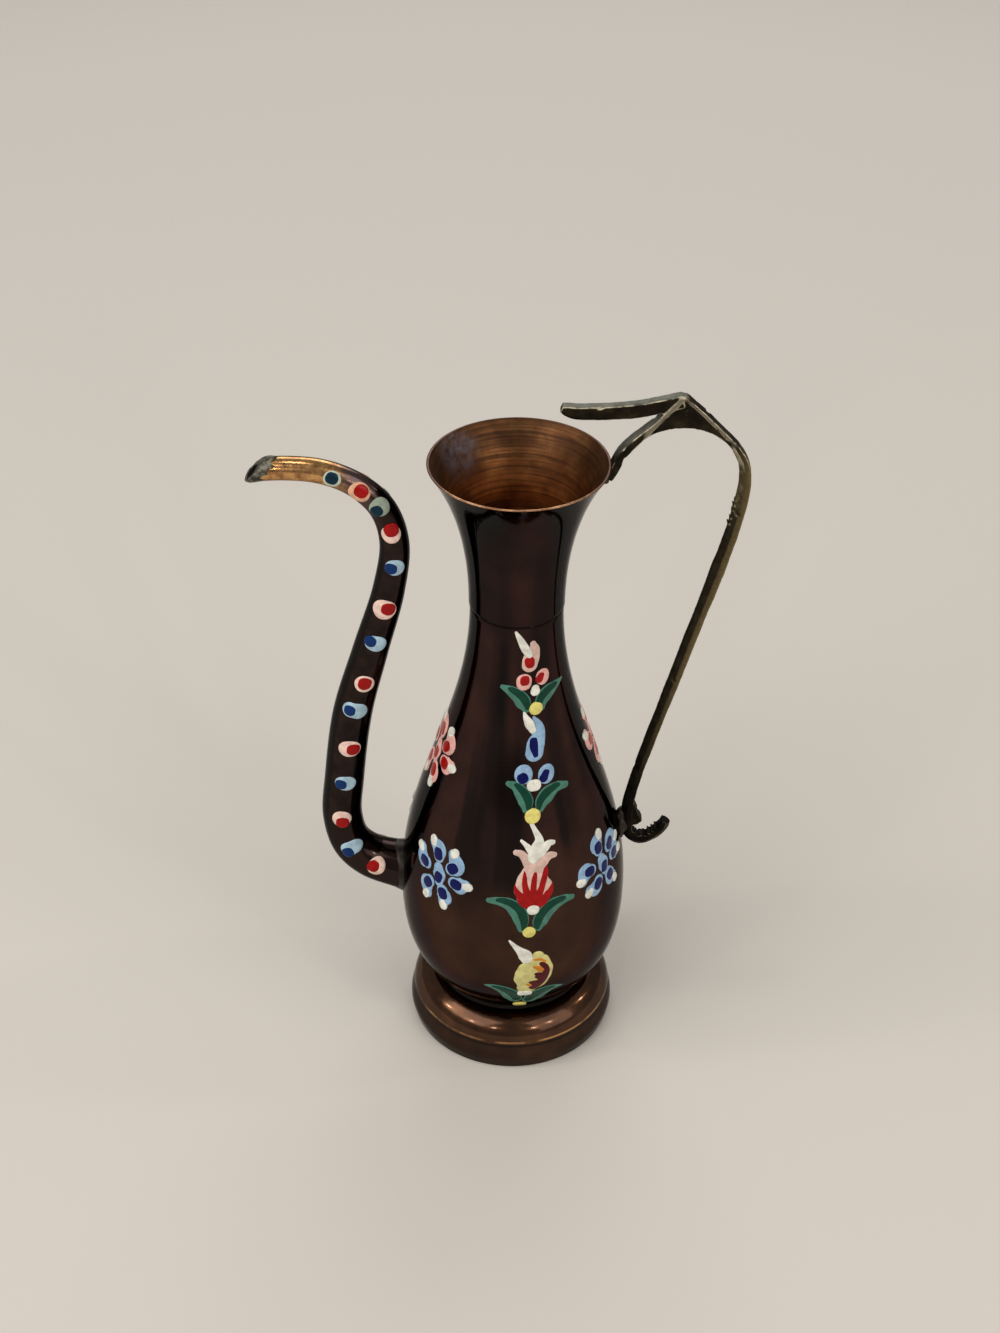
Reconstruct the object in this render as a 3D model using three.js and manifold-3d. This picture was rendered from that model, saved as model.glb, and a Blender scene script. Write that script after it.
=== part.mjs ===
// A small painted copper jug: spun body, neck and foot, a bent spout and a cast brass handle, all soldered.
// Millimetres, +Z up. The jug is built round the Z axis, with its spout towards -X and its handle towards
// +X, and the finished group is then moved so that the middle of its length is the origin.

import * as THREE from 'three';
import { mergeVertices } from 'three/addons/utils/BufferGeometryUtils.js';
import Module from 'manifold-3d';

const wasm = await Module();
wasm.setup();

// Sheet, clearances and solder
const SHEET = 0.5;
const SEAT_GAP = 0.3;
const LAP_GAP = 0.2;
const SOLDER_BEAD = 0.9;
const SOLDER_EDGE = 0.2;

// Body: a pear shape between the neck seam and its rounded bottom
const SEAM_Z = 109.9;
const NECK_R = 9.33;
const NECK_FALL = 28.2;
const BELLY_R = 24.2;
const BELLY_Z = 37.1;
const BELLY_RISE = 26.7;
const BOTTOM_DEPTH = 28.4;
const BOTTOM_SQUARENESS = 2.5;
const LAP_LENGTH = 6;
const LAP_STEP = 0.5;

// Neck collar: a trumpet that laps over the body's neck
const COLLAR_R = 9.55;
const COLLAR_RISE = 18.7;
const RIM_R = 17.5;
const RIM_Z = 141.1;
const RIM_CURL = 3.6;
const RIM_SLOPE = THREE.MathUtils.degToRad(58);

// Foot: a flat hem, a lower bead, a groove, a lip, an upper slope and a seat under the body
const HEM_R = 20.2;
const BASE_R = 22.2;
const BEAD_R = 22.7;
const BEAD_Z = 3.2;
const GROOVE_R = 21.75;
const GROOVE_Z = 6.1;
const LIP_R = 22.0;
const SLOPE_BULGE = 1.1;
const LIP_Z = 6.9;
const CROWN_R = 18.6;
const CROWN_Z = 12.4;
const VALLEY_DROP = 0.2;
const SEAT_OUTER_R = 15.2;
const SEAT_INNER_R = 13.4;
// The gap is measured square to the seat, which slopes, so it is longer straight down.
const SEAT_DROP = SEAT_GAP * 1.35;

// Spout: outer radii, wall and bore, and where it leaves the belly
const SPOUT_BASE_Z = 39.7;
const SPOUT_WALL = 0.6;
const SPOUT_FLARE_R = 5.4;
const SPOUT_LOW_R = 4.25;
const SPOUT_CROOK_R = 3.0;
const SPOUT_TIP_R = 2.28;
const SPOUT_HOLE_R = 0.9;
const SPOUT_CUT_LEAN = THREE.MathUtils.degToRad(38);
const SPOUT_TIP_X = -26.1;
const SPOUT_TIP_RISE = 98.9;
const TIP_SOLDER = 0.9;
const TIP_SOLDER_PROUD = 0.05;
const BASE_SOLDER_LENGTH = 1.8;
const BASE_SOLDER_WIDTH = 0.4;

// Handle: thickness seen from the side and width seen from the back
const LIMB_WIDTH = 2.6;
const ARM_WIDTH = 3.6;
const THUMB_WIDTH = 2.2;
const ARCH_HALF_WIDTH = 10.9;
const ARCH_HEIGHT = 9.7;
const TAIL_Z = 53;
const TAIL_STANDOFF = 0.75;
const TAIL_SOLDER_SIZE = [3.8, 4.6, 9.2];
const TAIL_SOLDER_DROP = 0.5;
const RIM_SOLDER_SIZE = [2.6, 4.8, 3.2];
const RIM_SOLDER_DROP = 2.9;
const RIM_SOLDER_INSET = 1.1;

// Fineness of the round shapes
const AROUND = 48;
const TUBE_SIDES = 16;
const TUBE_STEPS = 36;
const BEAD_SIDES = 6;
const BOTTOM_STEPS = 9;
const SHOULDER_STEPS = 13;
const TRUMPET_STEPS = 11;
const BEAD_STEPS = 5;
const SLOPE_STEPS = 4;
const ARCH_STEPS = 24;
const STRAP_STEPS = 6;

// Routes, as [along X, height] in the jug's middle plane.
// The spout's points are measured from its foot on the belly.
const SPOUT_ROUTE = [
  [8.0, -2.4], [0, 0], [-6.8, 2.5], [-10.8, 6.7], [-12.5, 14.1], [-11.7, 24.5], [-9.4, 41.5], [-5.2, 57.5],
  [-1.1, 72.5], [0.2, 83.5], [-1.9, 91], [-6.7, 96], [-13, 98.8], [-20, 99.5], [-30, 98.7],
];
// The parts of the route that pass through the belly's wall and that hold the slanted cut.
const FOOT_SHARE = 0.2;
const TIP_SHARE = 0.88;
// Longer each way than the end of the spout that it cuts off.
const CUT_BLOCK = 30;
// Where the radius of the spout changes, as [share of the route, radius].
const SPOUT_RADII = [
  [0, SPOUT_FLARE_R], [0.06, SPOUT_FLARE_R - 0.1], [0.105, SPOUT_LOW_R + 0.6], [0.17, SPOUT_LOW_R],
  [0.4, SPOUT_LOW_R - 0.15], [0.7, SPOUT_CROOK_R], [0.84, SPOUT_TIP_R + 0.15], [1, SPOUT_TIP_R],
];

// As [x, height, thickness]. The upper points are measured from the rim, the lower ones from the tail.
const LIMB_TOP = [
  [23.1, 4.1, 1.7], [24.8, 0.9, 2.2], [25.3, -3.6, 2.35], [24.2, -12.1, 2.6], [21.4, -24, 2.75],
];
const LIMB_MIDDLE = [[12.5, 52, 2.25], [8.1, 35, 2.0], [5.2, 24, 1.65], [2.6, 13.4, 1.7]];
const LIMB_TAIL = [
  [1.2, 6, 2.1], [0.95, 1, 2.2], [1.9, -3.4, 1.9], [4.2, -4.5, 1.7], [6.9, -2.6, 1.7], [9.1, 0.3, 1.5],
];
const ARM_ROUTE = [
  [-0.55, -2.5, 1.6], [0.5, -0.5, 1.7], [1.7, 2.3, 1.8], [3.4, 4.6, 1.8], [5.3, 6.8, 1.9],
  [9.0, 11.0, 2.2], [12.0, 13.8, 2.2],
];
const THUMB_ROUTE = [
  [-9.8, 12.1, 1.0], [-8.9, 11.7, 1.9], [-6.8, 11.3, 2.4], [-3, 11.3, 2.6], [1, 11.6, 2.7],
  [5.5, 12.1, 2.9], [12.6, 13.9, 2.8],
];
// The web fills the corner between the arm, from this point up, the apex and the limb's shoulder.
const WEB_START = ARM_ROUTE[4];
const ARCH_CENTRE = [13.2, -1.4];
const ARCH_SPAN = [0.17 * Math.PI, 0.74 * Math.PI];
const APEX = [12.4, 15.3];
const APEX_BACK = [13.8, 14.9];
const WEB_SHOULDER = [23.7, 4.7];
const TAIL_BURR = [[2.0, 6.4], [3.9, 1.7], [2.7, 0.2], [0.8, -0.6]];

const materials = {
  copper: { color: 0x2a1712, roughness: 0.28, metalness: 0.85 },
  foot: { color: 0x4b2a1c, roughness: 0.2, metalness: 0.9 },
  spout: { color: 0x3a1d12, roughness: 0.26, metalness: 0.85 },
  brass: { color: 0x5c5030, roughness: 0.5, metalness: 0.8 },
  solder: { color: 0x6f6d62, roughness: 0.6, metalness: 0.7 },
};

// Geometry helpers

// Merges shared corners and drops the flat triangles that a lathe leaves at its poles.
function closeSeams(geometry) {
  geometry.deleteAttribute('normal');
  geometry.deleteAttribute('uv');
  const merged = mergeVertices(geometry, 1e-4);
  const corners = merged.getIndex().array;
  const kept = [];
  for (let i = 0; i < corners.length; i += 3) {
    const [a, b, c] = [corners[i], corners[i + 1], corners[i + 2]];
    if (a !== b && b !== c && c !== a) kept.push(a, b, c);
  }
  merged.setIndex(kept);
  return merged;
}

function toSolid(geometry) {
  const closed = closeSeams(geometry);
  const vertProperties = new Float32Array(closed.getAttribute('position').array);
  const triVerts = new Uint32Array(closed.getIndex().array);
  return new wasm.Manifold(new wasm.Mesh({ numProp: 3, vertProperties, triVerts }));
}

function toGeometry(solid) {
  const mesh = solid.getMesh();
  const geometry = new THREE.BufferGeometry();
  geometry.setAttribute('position', new THREE.BufferAttribute(new Float32Array(mesh.vertProperties), 3));
  geometry.setIndex(Array.from(mesh.triVerts));
  geometry.computeVertexNormals();
  return geometry;
}

// Moves an outline sideways: to its right, seen along its points, for a positive distance.
function offsetOutline(points, distance) {
  return points.map((point, i) => {
    const before = points[Math.max(i - 1, 0)];
    const after = points[Math.min(i + 1, points.length - 1)];
    const into = point.clone().sub(before).normalize();
    const out = after.clone().sub(point).normalize();
    const along = into.clone().add(out).normalize();
    const reach = into.lengthSq() > 0 && out.lengthSq() > 0 ? 1 / Math.max(along.dot(out), 0.5) : 1;
    return new THREE.Vector2(point.x + along.y * distance * reach, point.y - along.x * distance * reach);
  });
}

// A solid of revolution round Z from points (radius, height) that run upwards on the outside.
function latheSolid(points) {
  const geometry = new THREE.LatheGeometry(points, AROUND);
  geometry.rotateX(Math.PI / 2);
  return toSolid(geometry);
}

// A sheet of even thickness on the inner side of an outline.
function sheetSolid(outline, thickness) {
  const inner = offsetOutline(outline, -thickness).reverse();
  return latheSolid([...outline, ...inner, outline[0].clone()]);
}

// A full solid under an outline, swollen by a gap, for cutting what seats on it.
function keepOutSolid(outline, gap) {
  const swollen = offsetOutline(outline, gap);
  swollen[0].x = Math.max(swollen[0].x, 0);
  const bottom = outline[0].y - gap;
  const top = outline[outline.length - 1].y + gap;
  return latheSolid([new THREE.Vector2(0, bottom), new THREE.Vector2(swollen[0].x, bottom), ...swollen,
    new THREE.Vector2(swollen[swollen.length - 1].x, top), new THREE.Vector2(0, top)]);
}

function ringSolid(radius, height, beadRadius) {
  const points = [];
  for (let i = 0; i <= BEAD_SIDES; i += 1) {
    const angle = (i / BEAD_SIDES) * 2 * Math.PI;
    const out = beadRadius * Math.cos(angle);
    points.push(new THREE.Vector2(radius + out, height + beadRadius * Math.sin(angle)));
  }
  return latheSolid(points);
}

// The radius of an outline at a height, between its two nearest points.
function radiusAt(outline, height) {
  for (let i = 1; i < outline.length; i += 1) {
    const [low, high] = [outline[i - 1], outline[i]];
    if (height >= low.y && height <= high.y && high.y > low.y) {
      return low.x + ((high.x - low.x) * (height - low.y)) / (high.y - low.y);
    }
  }
  return outline[outline.length - 1].x;
}

// A round rod in the jug's middle plane whose radius follows radiusOf(share of the route).
function rodSolid(curve, radiusOf, from = 0, to = 1) {
  const steps = Math.max(2, Math.round(TUBE_STEPS * (to - from)));
  const position = [];
  const index = [];
  for (let i = 0; i <= steps; i += 1) {
    const share = from + ((to - from) * i) / steps;
    const centre = curve.getPointAt(share);
    const along = curve.getTangentAt(share);
    const radius = radiusOf(share);
    for (let j = 0; j < TUBE_SIDES; j += 1) {
      const angle = (j / TUBE_SIDES) * 2 * Math.PI;
      const inPlane = radius * Math.cos(angle);
      position.push(centre.x - along.z * inPlane, radius * Math.sin(angle), centre.z + along.x * inPlane);
    }
  }
  const ring = (i, j) => i * TUBE_SIDES + (j % TUBE_SIDES);
  for (let i = 0; i < steps; i += 1) {
    for (let j = 0; j < TUBE_SIDES; j += 1) {
      index.push(ring(i, j), ring(i + 1, j), ring(i, j + 1));
      index.push(ring(i, j + 1), ring(i + 1, j), ring(i + 1, j + 1));
    }
  }
  for (let j = 1; j < TUBE_SIDES - 1; j += 1) {
    index.push(ring(0, 0), ring(0, j), ring(0, j + 1));
    index.push(ring(steps, 0), ring(steps, j + 1), ring(steps, j));
  }
  const geometry = new THREE.BufferGeometry();
  geometry.setAttribute('position', new THREE.Float32BufferAttribute(position, 3));
  geometry.setIndex(index);
  return toSolid(geometry);
}

// A plate of even width across Y, cut to a shape drawn in X and Z.
function plateSolid(shape, width) {
  const settings = { depth: width, bevelEnabled: false, curveSegments: ARCH_STEPS };
  const geometry = new THREE.ExtrudeGeometry(shape, settings);
  geometry.translate(0, 0, -width / 2);
  geometry.rotateX(Math.PI / 2);
  return toSolid(geometry);
}

// A strap that follows points [x, height, thickness].
function strapShape(points, extra = 0) {
  const stations = points.map(([x, z, t]) => new THREE.Vector3(x, z, t / 2 + extra));
  const route = new THREE.CatmullRomCurve3(stations);
  const steps = STRAP_STEPS * points.length;
  const left = [];
  const right = [];
  for (let i = 0; i <= steps; i += 1) {
    const here = route.getPoint(i / steps);
    const along = route.getTangent(i / steps);
    const side = new THREE.Vector2(-along.y, along.x).normalize().multiplyScalar(here.z);
    left.push(new THREE.Vector2(here.x + side.x, here.y + side.y));
    right.push(new THREE.Vector2(here.x - side.x, here.y - side.y));
  }
  return new THREE.Shape([...left, ...right.reverse()]);
}

const movedBy = (route, [dx, dz]) => route.map(([x, z, ...rest]) => [x + dx, z + dz, ...rest]);

// Outlines, as (radius, height)

// The outside of the body, from its pole underneath up to the top of its neck.
function bodyOutline() {
  const points = [];
  for (let i = 0; i < BOTTOM_STEPS; i += 1) {
    const angle = (i / BOTTOM_STEPS) * (Math.PI / 2);
    const power = 2 / BOTTOM_SQUARENESS;
    const depth = BOTTOM_DEPTH * Math.cos(angle) ** power;
    points.push(new THREE.Vector2(BELLY_R * Math.sin(angle) ** power, BELLY_Z - depth));
  }
  const shoulder = new THREE.CubicBezierCurve(
    new THREE.Vector2(BELLY_R, BELLY_Z),
    new THREE.Vector2(BELLY_R, BELLY_Z + BELLY_RISE),
    new THREE.Vector2(NECK_R, SEAM_Z - LAP_STEP - NECK_FALL),
    new THREE.Vector2(NECK_R, SEAM_Z - LAP_STEP),
  );
  points.push(...shoulder.getPoints(SHOULDER_STEPS));
  const lapRadius = COLLAR_R - SHEET - LAP_GAP;
  points.push(new THREE.Vector2(lapRadius, SEAM_Z));
  points.push(new THREE.Vector2(lapRadius, SEAM_Z + LAP_LENGTH));
  return points;
}

function collarOutline() {
  const trumpet = new THREE.CubicBezierCurve(
    new THREE.Vector2(COLLAR_R, SEAM_Z),
    new THREE.Vector2(COLLAR_R, SEAM_Z + COLLAR_RISE),
    new THREE.Vector2(RIM_R - RIM_CURL * Math.cos(RIM_SLOPE), RIM_Z - RIM_CURL * Math.sin(RIM_SLOPE)),
    new THREE.Vector2(RIM_R, RIM_Z),
  );
  return trumpet.getPoints(TRUMPET_STEPS);
}

// The height of the body's underside at a radius.
function undersideAt(radius) {
  return BELLY_Z - BOTTOM_DEPTH * (1 - (radius / BELLY_R) ** BOTTOM_SQUARENESS) ** (1 / BOTTOM_SQUARENESS);
}

// The outside of the foot, from its hem on the table up to its seat under the body.
function footOutline() {
  const slope = new THREE.QuadraticBezierCurve(
    new THREE.Vector2(LIP_R, LIP_Z),
    new THREE.Vector2(LIP_R - SLOPE_BULGE, CROWN_Z),
    new THREE.Vector2(CROWN_R, CROWN_Z),
  );
  const bead = new THREE.SplineCurve([
    new THREE.Vector2(BASE_R, 0),
    new THREE.Vector2(BEAD_R, BEAD_Z),
    new THREE.Vector2(GROOVE_R, GROOVE_Z),
  ]);
  const valley = new THREE.Vector2(
    (CROWN_R + SEAT_OUTER_R) / 2,
    undersideAt(SEAT_OUTER_R) - SEAT_DROP - VALLEY_DROP,
  );
  const seatRadii = [SEAT_OUTER_R, (SEAT_OUTER_R + SEAT_INNER_R) / 2, SEAT_INNER_R];
  return [
    new THREE.Vector2(HEM_R, 0),
    ...bead.getPoints(BEAD_STEPS),
    ...slope.getPoints(SLOPE_STEPS),
    valley,
    ...seatRadii.map((r) => new THREE.Vector2(r, undersideAt(r) - SEAT_DROP)),
  ];
}

// Shared outlines, routes and cutting solids

const body = bodyOutline();
const collar = collarOutline();
const foot = footOutline();
const bodyKeepOut = keepOutSolid(body, SEAT_GAP);
const collarKeepOut = keepOutSolid(collar, SEAT_GAP);

const rimPoint = [RIM_R, RIM_Z];
const tailPoint = [radiusAt(body, TAIL_Z) + TAIL_STANDOFF, TAIL_Z];
const spoutFoot = [-radiusAt(body, SPOUT_BASE_Z), SPOUT_BASE_Z];
const spoutPoints = movedBy(SPOUT_ROUTE, spoutFoot).map(([x, z]) => new THREE.Vector3(x, 0, z));
const spoutCurve = new THREE.CatmullRomCurve3(spoutPoints, false, 'centripetal');

function spoutRadius(share) {
  for (let i = 1; i < SPOUT_RADII.length; i += 1) {
    const [start, first] = SPOUT_RADII[i - 1];
    const [end, last] = SPOUT_RADII[i];
    if (share <= end) return THREE.MathUtils.lerp(first, last, (share - start) / (end - start));
  }
  return SPOUT_TIP_R;
}

// A block that takes away all of the spout past its slanted cut, moved out along the cut's normal.
function beyondCut(distance) {
  const block = new THREE.BoxGeometry(CUT_BLOCK, CUT_BLOCK, CUT_BLOCK);
  block.translate(-CUT_BLOCK / 2 - distance, 0, 0);
  block.rotateY(SPOUT_CUT_LEAN);
  block.translate(spoutFoot[0] + SPOUT_TIP_X, 0, spoutFoot[1] + SPOUT_TIP_RISE);
  return toSolid(block);
}

function spoutRod(extra, from = 0, to = 1) {
  return rodSolid(spoutCurve, (share) => spoutRadius(share) + extra, from, to);
}

function makeSpout() {
  const cut = TIP_SOLDER + SEAT_GAP;
  return spoutRod(0).subtract(spoutRod(-SPOUT_WALL)).subtract(bodyKeepOut).subtract(beyondCut(-cut));
}

// The tin that closes the cut, with the small hole that was left in it.
function makeTipSolder() {
  const cap = spoutRod(TIP_SOLDER_PROUD, TIP_SHARE).subtract(beyondCut(0));
  const bore = rodSolid(spoutCurve, () => SPOUT_HOLE_R, TIP_SHARE);
  return cap.intersect(beyondCut(-TIP_SOLDER)).subtract(bore);
}

function makeBaseSolder() {
  const start = Math.hypot(...SPOUT_ROUTE[0]) / spoutCurve.getLength();
  const end = start + (SEAT_GAP + BASE_SOLDER_LENGTH) / spoutCurve.getLength();
  const fillet = rodSolid(spoutCurve, (share) => {
    const left = Math.min(1, Math.max(0, (end - share) / (end - start)));
    return spoutRadius(share) + SEAT_GAP + SOLDER_EDGE + BASE_SOLDER_WIDTH * left * left;
  }, 0, end);
  return fillet.subtract(spoutRod(SEAT_GAP, 0, 2 * end)).subtract(bodyKeepOut);
}

// The hole under the spout is a little smaller than the spout's bore, so the tube stands on the sheet.
function makeBody() {
  const inner = offsetOutline(body, -SHEET);
  inner[0].x = 0;
  const pourHole = spoutRod(-SPOUT_WALL - SEAT_GAP, 0, FOOT_SHARE);
  return latheSolid([...body, ...inner.reverse()]).subtract(pourHole);
}

// The rim is cut level, so its inner edge lies as high as its outer one.
function makeCollar() {
  const inner = offsetOutline(collar, -SHEET);
  inner[inner.length - 1].set(RIM_R - SHEET / Math.sin(RIM_SLOPE), RIM_Z);
  return latheSolid([...collar, ...inner.reverse(), collar[0].clone()]);
}

// The bead on the body's top edge, inside the collar.
function makeNeckSolder() {
  const top = SEAM_Z + LAP_LENGTH;
  const radius = body[body.length - 1].x;
  const bead = ringSolid(radius, top + SOLDER_BEAD / 2, SOLDER_BEAD / 2 + SOLDER_EDGE);
  const insideCollar = keepOutSolid(offsetOutline(collar, -SHEET - SEAT_GAP), 0);
  return bead.subtract(bodyKeepOut).intersect(insideCollar);
}

// The bead that fills the corner between the seat and the body's underside.
function makeFootSolder() {
  const radius = SEAT_OUTER_R + SOLDER_BEAD;
  const bead = ringSolid(radius, undersideAt(radius) - SOLDER_BEAD / 2, SOLDER_BEAD);
  const outer = offsetOutline(foot, SEAT_GAP);
  const inner = offsetOutline(foot, -SHEET - SEAT_GAP);
  const swollenFoot = latheSolid([...outer, ...inner.reverse(), outer[0]]);
  return bead.subtract(bodyKeepOut).subtract(swollenFoot);
}

// The handle: thumb bar, arm, web, limb and tail, cast in one piece
function limbRoute() {
  return [...movedBy(LIMB_TOP, rimPoint), ...movedBy([...LIMB_MIDDLE, ...LIMB_TAIL], tailPoint)];
}

function webShape() {
  const [centreX, centreZ] = movedBy([ARCH_CENTRE], rimPoint)[0];
  const shape = new THREE.Shape();
  const [start, ...rest] = movedBy([WEB_START, APEX, APEX_BACK, WEB_SHOULDER], rimPoint);
  shape.moveTo(start[0], start[1]);
  rest.forEach(([x, z]) => shape.lineTo(x, z));
  shape.absellipse(centreX, centreZ, ARCH_HALF_WIDTH, ARCH_HEIGHT, ...ARCH_SPAN, false);
  return shape;
}

function handleSolid(extra) {
  const limb = plateSolid(strapShape(limbRoute(), extra), LIMB_WIDTH + 2 * extra);
  const arm = plateSolid(strapShape(movedBy(ARM_ROUTE, rimPoint), extra), ARM_WIDTH + 2 * extra);
  if (extra > 0) return limb.add(arm);
  const web = plateSolid(webShape(), LIMB_WIDTH);
  const thumb = plateSolid(strapShape(movedBy(THUMB_ROUTE, rimPoint)), THUMB_WIDTH);
  const burrCorners = movedBy(TAIL_BURR, tailPoint).map(([x, z]) => new THREE.Vector2(x, z));
  const burr = plateSolid(new THREE.Shape(burrCorners), THUMB_WIDTH);
  return limb.add(arm).add(web).add(thumb).add(burr);
}

function makeHandle() {
  return handleSolid(0).subtract(collarKeepOut).subtract(bodyKeepOut);
}

// A soft lump of solder, longer than it is wide.
function lumpSolid([x, z], size) {
  const lump = new THREE.SphereGeometry(1 / 2, TUBE_SIDES, TUBE_SIDES / 2);
  lump.scale(...size);
  lump.translate(x, 0, z);
  return toSolid(lump);
}

function makeTailSolder() {
  const lump = lumpSolid([tailPoint[0], TAIL_Z - TAIL_SOLDER_DROP], TAIL_SOLDER_SIZE);
  return lump.subtract(bodyKeepOut).subtract(handleSolid(SEAT_GAP));
}

function makeRimSolder() {
  const lump = lumpSolid([RIM_R - RIM_SOLDER_INSET, RIM_Z - RIM_SOLDER_DROP], RIM_SOLDER_SIZE);
  return lump.subtract(collarKeepOut).subtract(handleSolid(SEAT_GAP));
}

// The assembly

const jug = new THREE.Group();

function addPiece(name, solid, look) {
  const piece = new THREE.Mesh(toGeometry(solid), new THREE.MeshStandardMaterial(materials[look]));
  piece.name = name;
  jug.add(piece);
}

addPiece('body_shell', makeBody(), 'copper');
addPiece('neck_collar', makeCollar(), 'copper');
addPiece('foot_ring', sheetSolid(foot, SHEET), 'foot');
addPiece('spout_tube', makeSpout(), 'spout');
addPiece('handle_casting', makeHandle(), 'brass');
addPiece('neck_solder_ring', makeNeckSolder(), 'solder');
addPiece('foot_solder_ring', makeFootSolder(), 'solder');
addPiece('spout_base_solder', makeBaseSolder(), 'solder');
addPiece('spout_tip_solder', makeTipSolder(), 'solder');
addPiece('handle_rim_solder', makeRimSolder(), 'solder');
addPiece('handle_tail_solder', makeTailSolder(), 'solder');

const extent = new THREE.Box3().setFromObject(jug);
jug.position.x = -(extent.min.x + extent.max.x) / 2;

const part = new THREE.Group();
part.add(jug);

export default part;
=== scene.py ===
# A small painted copper jug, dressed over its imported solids: spun, bent and cast surfaces,
# dark lacquer, aged brass, solder, and flowers in raised enamel that stand on the metal.
# Sizes are in millimetres from the jug's own axis, with the spout towards -X, the handle towards +X
# and the front towards -Y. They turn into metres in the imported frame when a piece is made.

import math
from functools import cached_property

import bpy
import numpy as np
from mathutils import Matrix, Vector, noise


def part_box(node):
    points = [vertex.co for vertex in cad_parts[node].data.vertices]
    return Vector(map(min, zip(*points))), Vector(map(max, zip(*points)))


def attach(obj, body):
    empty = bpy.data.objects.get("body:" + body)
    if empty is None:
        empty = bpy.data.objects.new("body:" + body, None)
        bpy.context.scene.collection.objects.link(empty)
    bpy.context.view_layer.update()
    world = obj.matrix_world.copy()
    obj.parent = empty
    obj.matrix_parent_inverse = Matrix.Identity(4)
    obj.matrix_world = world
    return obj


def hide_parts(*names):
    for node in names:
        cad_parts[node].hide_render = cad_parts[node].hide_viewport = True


MM = 0.001

# Camera, found from the photograph's outlines: place, sight line and up, from the jug's axis
PHOTO_HEIGHT = 1333
FOCAL_PIXELS = 2000
SENSOR = 36.0
CAMERA_PLACE = (0.0, -327.28, 332.58)
CAMERA_RIGHT = (0.99985, 0.01537, 0.00763)
CAMERA_UP = (-0.01522, 0.58980, 0.80741)
CAMERA_SIGHT = (-0.00791, 0.80740, -0.58995)

# Spun sheet: body, collar and foot
SHEET = 0.5
LAP_GAP = 0.2
SEAT_DROP = 0.4
SEAM_Z = 109.9
NECK_R = 9.33
NECK_FALL = 28.2
BELLY_R = 24.2
BELLY_Z = 37.1
BELLY_RISE = 26.7
BOTTOM_DEPTH = 28.4
BOTTOM_SQUARENESS = 2.5
LAP_LENGTH = 6.0
LAP_STEP = 0.5
COLLAR_R = 9.55
COLLAR_RISE = 18.7
RIM_R = 17.5
RIM_Z = 141.1
RIM_CURL = 3.6
RIM_SLOPE = math.radians(58)
# How far the sheet's edges bulge at the rim and at the lap, for half their width
RIM_BULGE = 0.45
LAP_BULGE = 0.4
HEM_R = 20.2
HEM_ROUND = 0.25
BASE_R = 22.2
BEAD_R = 22.7
BEAD_Z = 3.2
GROOVE_R = 21.75
GROOVE_Z = 6.1
LIP_R = 22.0
SLOPE_BULGE = 0.8
SHOULDER_Z = 10.9
LIP_Z = 6.9
LIP_WEAR = 0.3
CROWN_R = 18.0
CROWN_Z = 12.0
VALLEY_DROP = 0.2
SEAT_OUTER_R = 15.2
SEAT_INNER_R = 13.4

# Spout
SPOUT_BASE_Z = 39.7
SPOUT_WALL = 0.6
SPOUT_DIP = 0.12
SPOUT_FLARE_R = 5.4
SPOUT_LOW_R = 4.25
SPOUT_CROOK_R = 3.0
SPOUT_TIP_R = 2.28
SPOUT_CUT_LEAN = math.radians(38)
SPOUT_TIP_X = -26.1
SPOUT_TIP_RISE = 98.9
TIP_SOLDER = 0.9
# The tube's middle line from its foot, and its radius by share of the way
SPOUT_ROUTE = [
    (8.0, -2.4), (0, 0), (-6.8, 2.5), (-10.8, 6.7), (-12.5, 14.1), (-11.7, 24.5), (-9.4, 41.5),
    (-5.2, 57.5), (-1.1, 72.5), (0.2, 83.5), (-1.9, 91), (-6.7, 96), (-13, 98.8), (-20, 99.5),
    (-30, 98.7),
]
SPOUT_RADII = [
    (0, SPOUT_FLARE_R), (0.06, SPOUT_FLARE_R - 0.1), (0.105, SPOUT_LOW_R + 0.6), (0.17, SPOUT_LOW_R),
    (0.4, SPOUT_LOW_R - 0.15), (0.7, SPOUT_CROOK_R), (0.84, SPOUT_TIP_R + 0.15), (1, SPOUT_TIP_R),
]

# Where the spout's lacquer thins and where it is worn off, by distance from the jug's axis, how far
# both wander, and the heights of the foot's warm tone and of the bend above which the wear starts
THIN_LACQUER_X = (-25.0, -31.0)
WORN_LACQUER_X = (-31.5, -36.5)
WEAR_WANDER = 2.5
SPOUT_FOOT_Z = (36, 62)
SPOUT_BEND_Z = (118, 130)

# Handle, as (x, height, thickness); the upper points start from the rim, the lower ones from the tail
LIMB_WIDTH = 2.6
LIMB_BEVEL = 0.6
WEB_WIDTH = 1.7
ARM_WIDTH = 3.6
THUMB_WIDTH = 2.2
TAIL_Z = 53.0
TAIL_STANDOFF = 0.75
LIMB_RIB = [(12.9, 14.6, 0.9), (16.8, 11.1, 0.9), (20.1, 7.7, 1.0), (22.4, 5.2, 1.3)]
LIMB_TOP = [(23.1, 4.1, 1.7), (24.8, 0.9, 2.2), (25.3, -3.6, 2.35), (24.2, -12.1, 2.6), (21.4, -24, 2.75)]
LIMB_MIDDLE = [(12.5, 52, 2.5), (8.1, 35, 2.4), (5.2, 24, 2.2), (2.6, 13.4, 2.25)]
LIMB_TAIL = [
    (1.2, 6, 2.4), (0.95, 1, 2.4), (1.8, -3.4, 2.3), (4.2, -4.8, 2.3), (7.0, -3.3, 2.4), (8.9, -0.8, 2.3),
    (9.4, 0.6, 2.0),
]
ARM_ROUTE = [
    (-0.55, -2.5, 1.6), (0.5, -0.5, 1.7), (1.7, 2.3, 1.8), (3.4, 4.5, 1.7), (5.4, 6.6, 1.4),
    (7.4, 8.7, 1.0), (9.5, 11.1, 0.9), (12.6, 14.7, 0.9),
]
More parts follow.
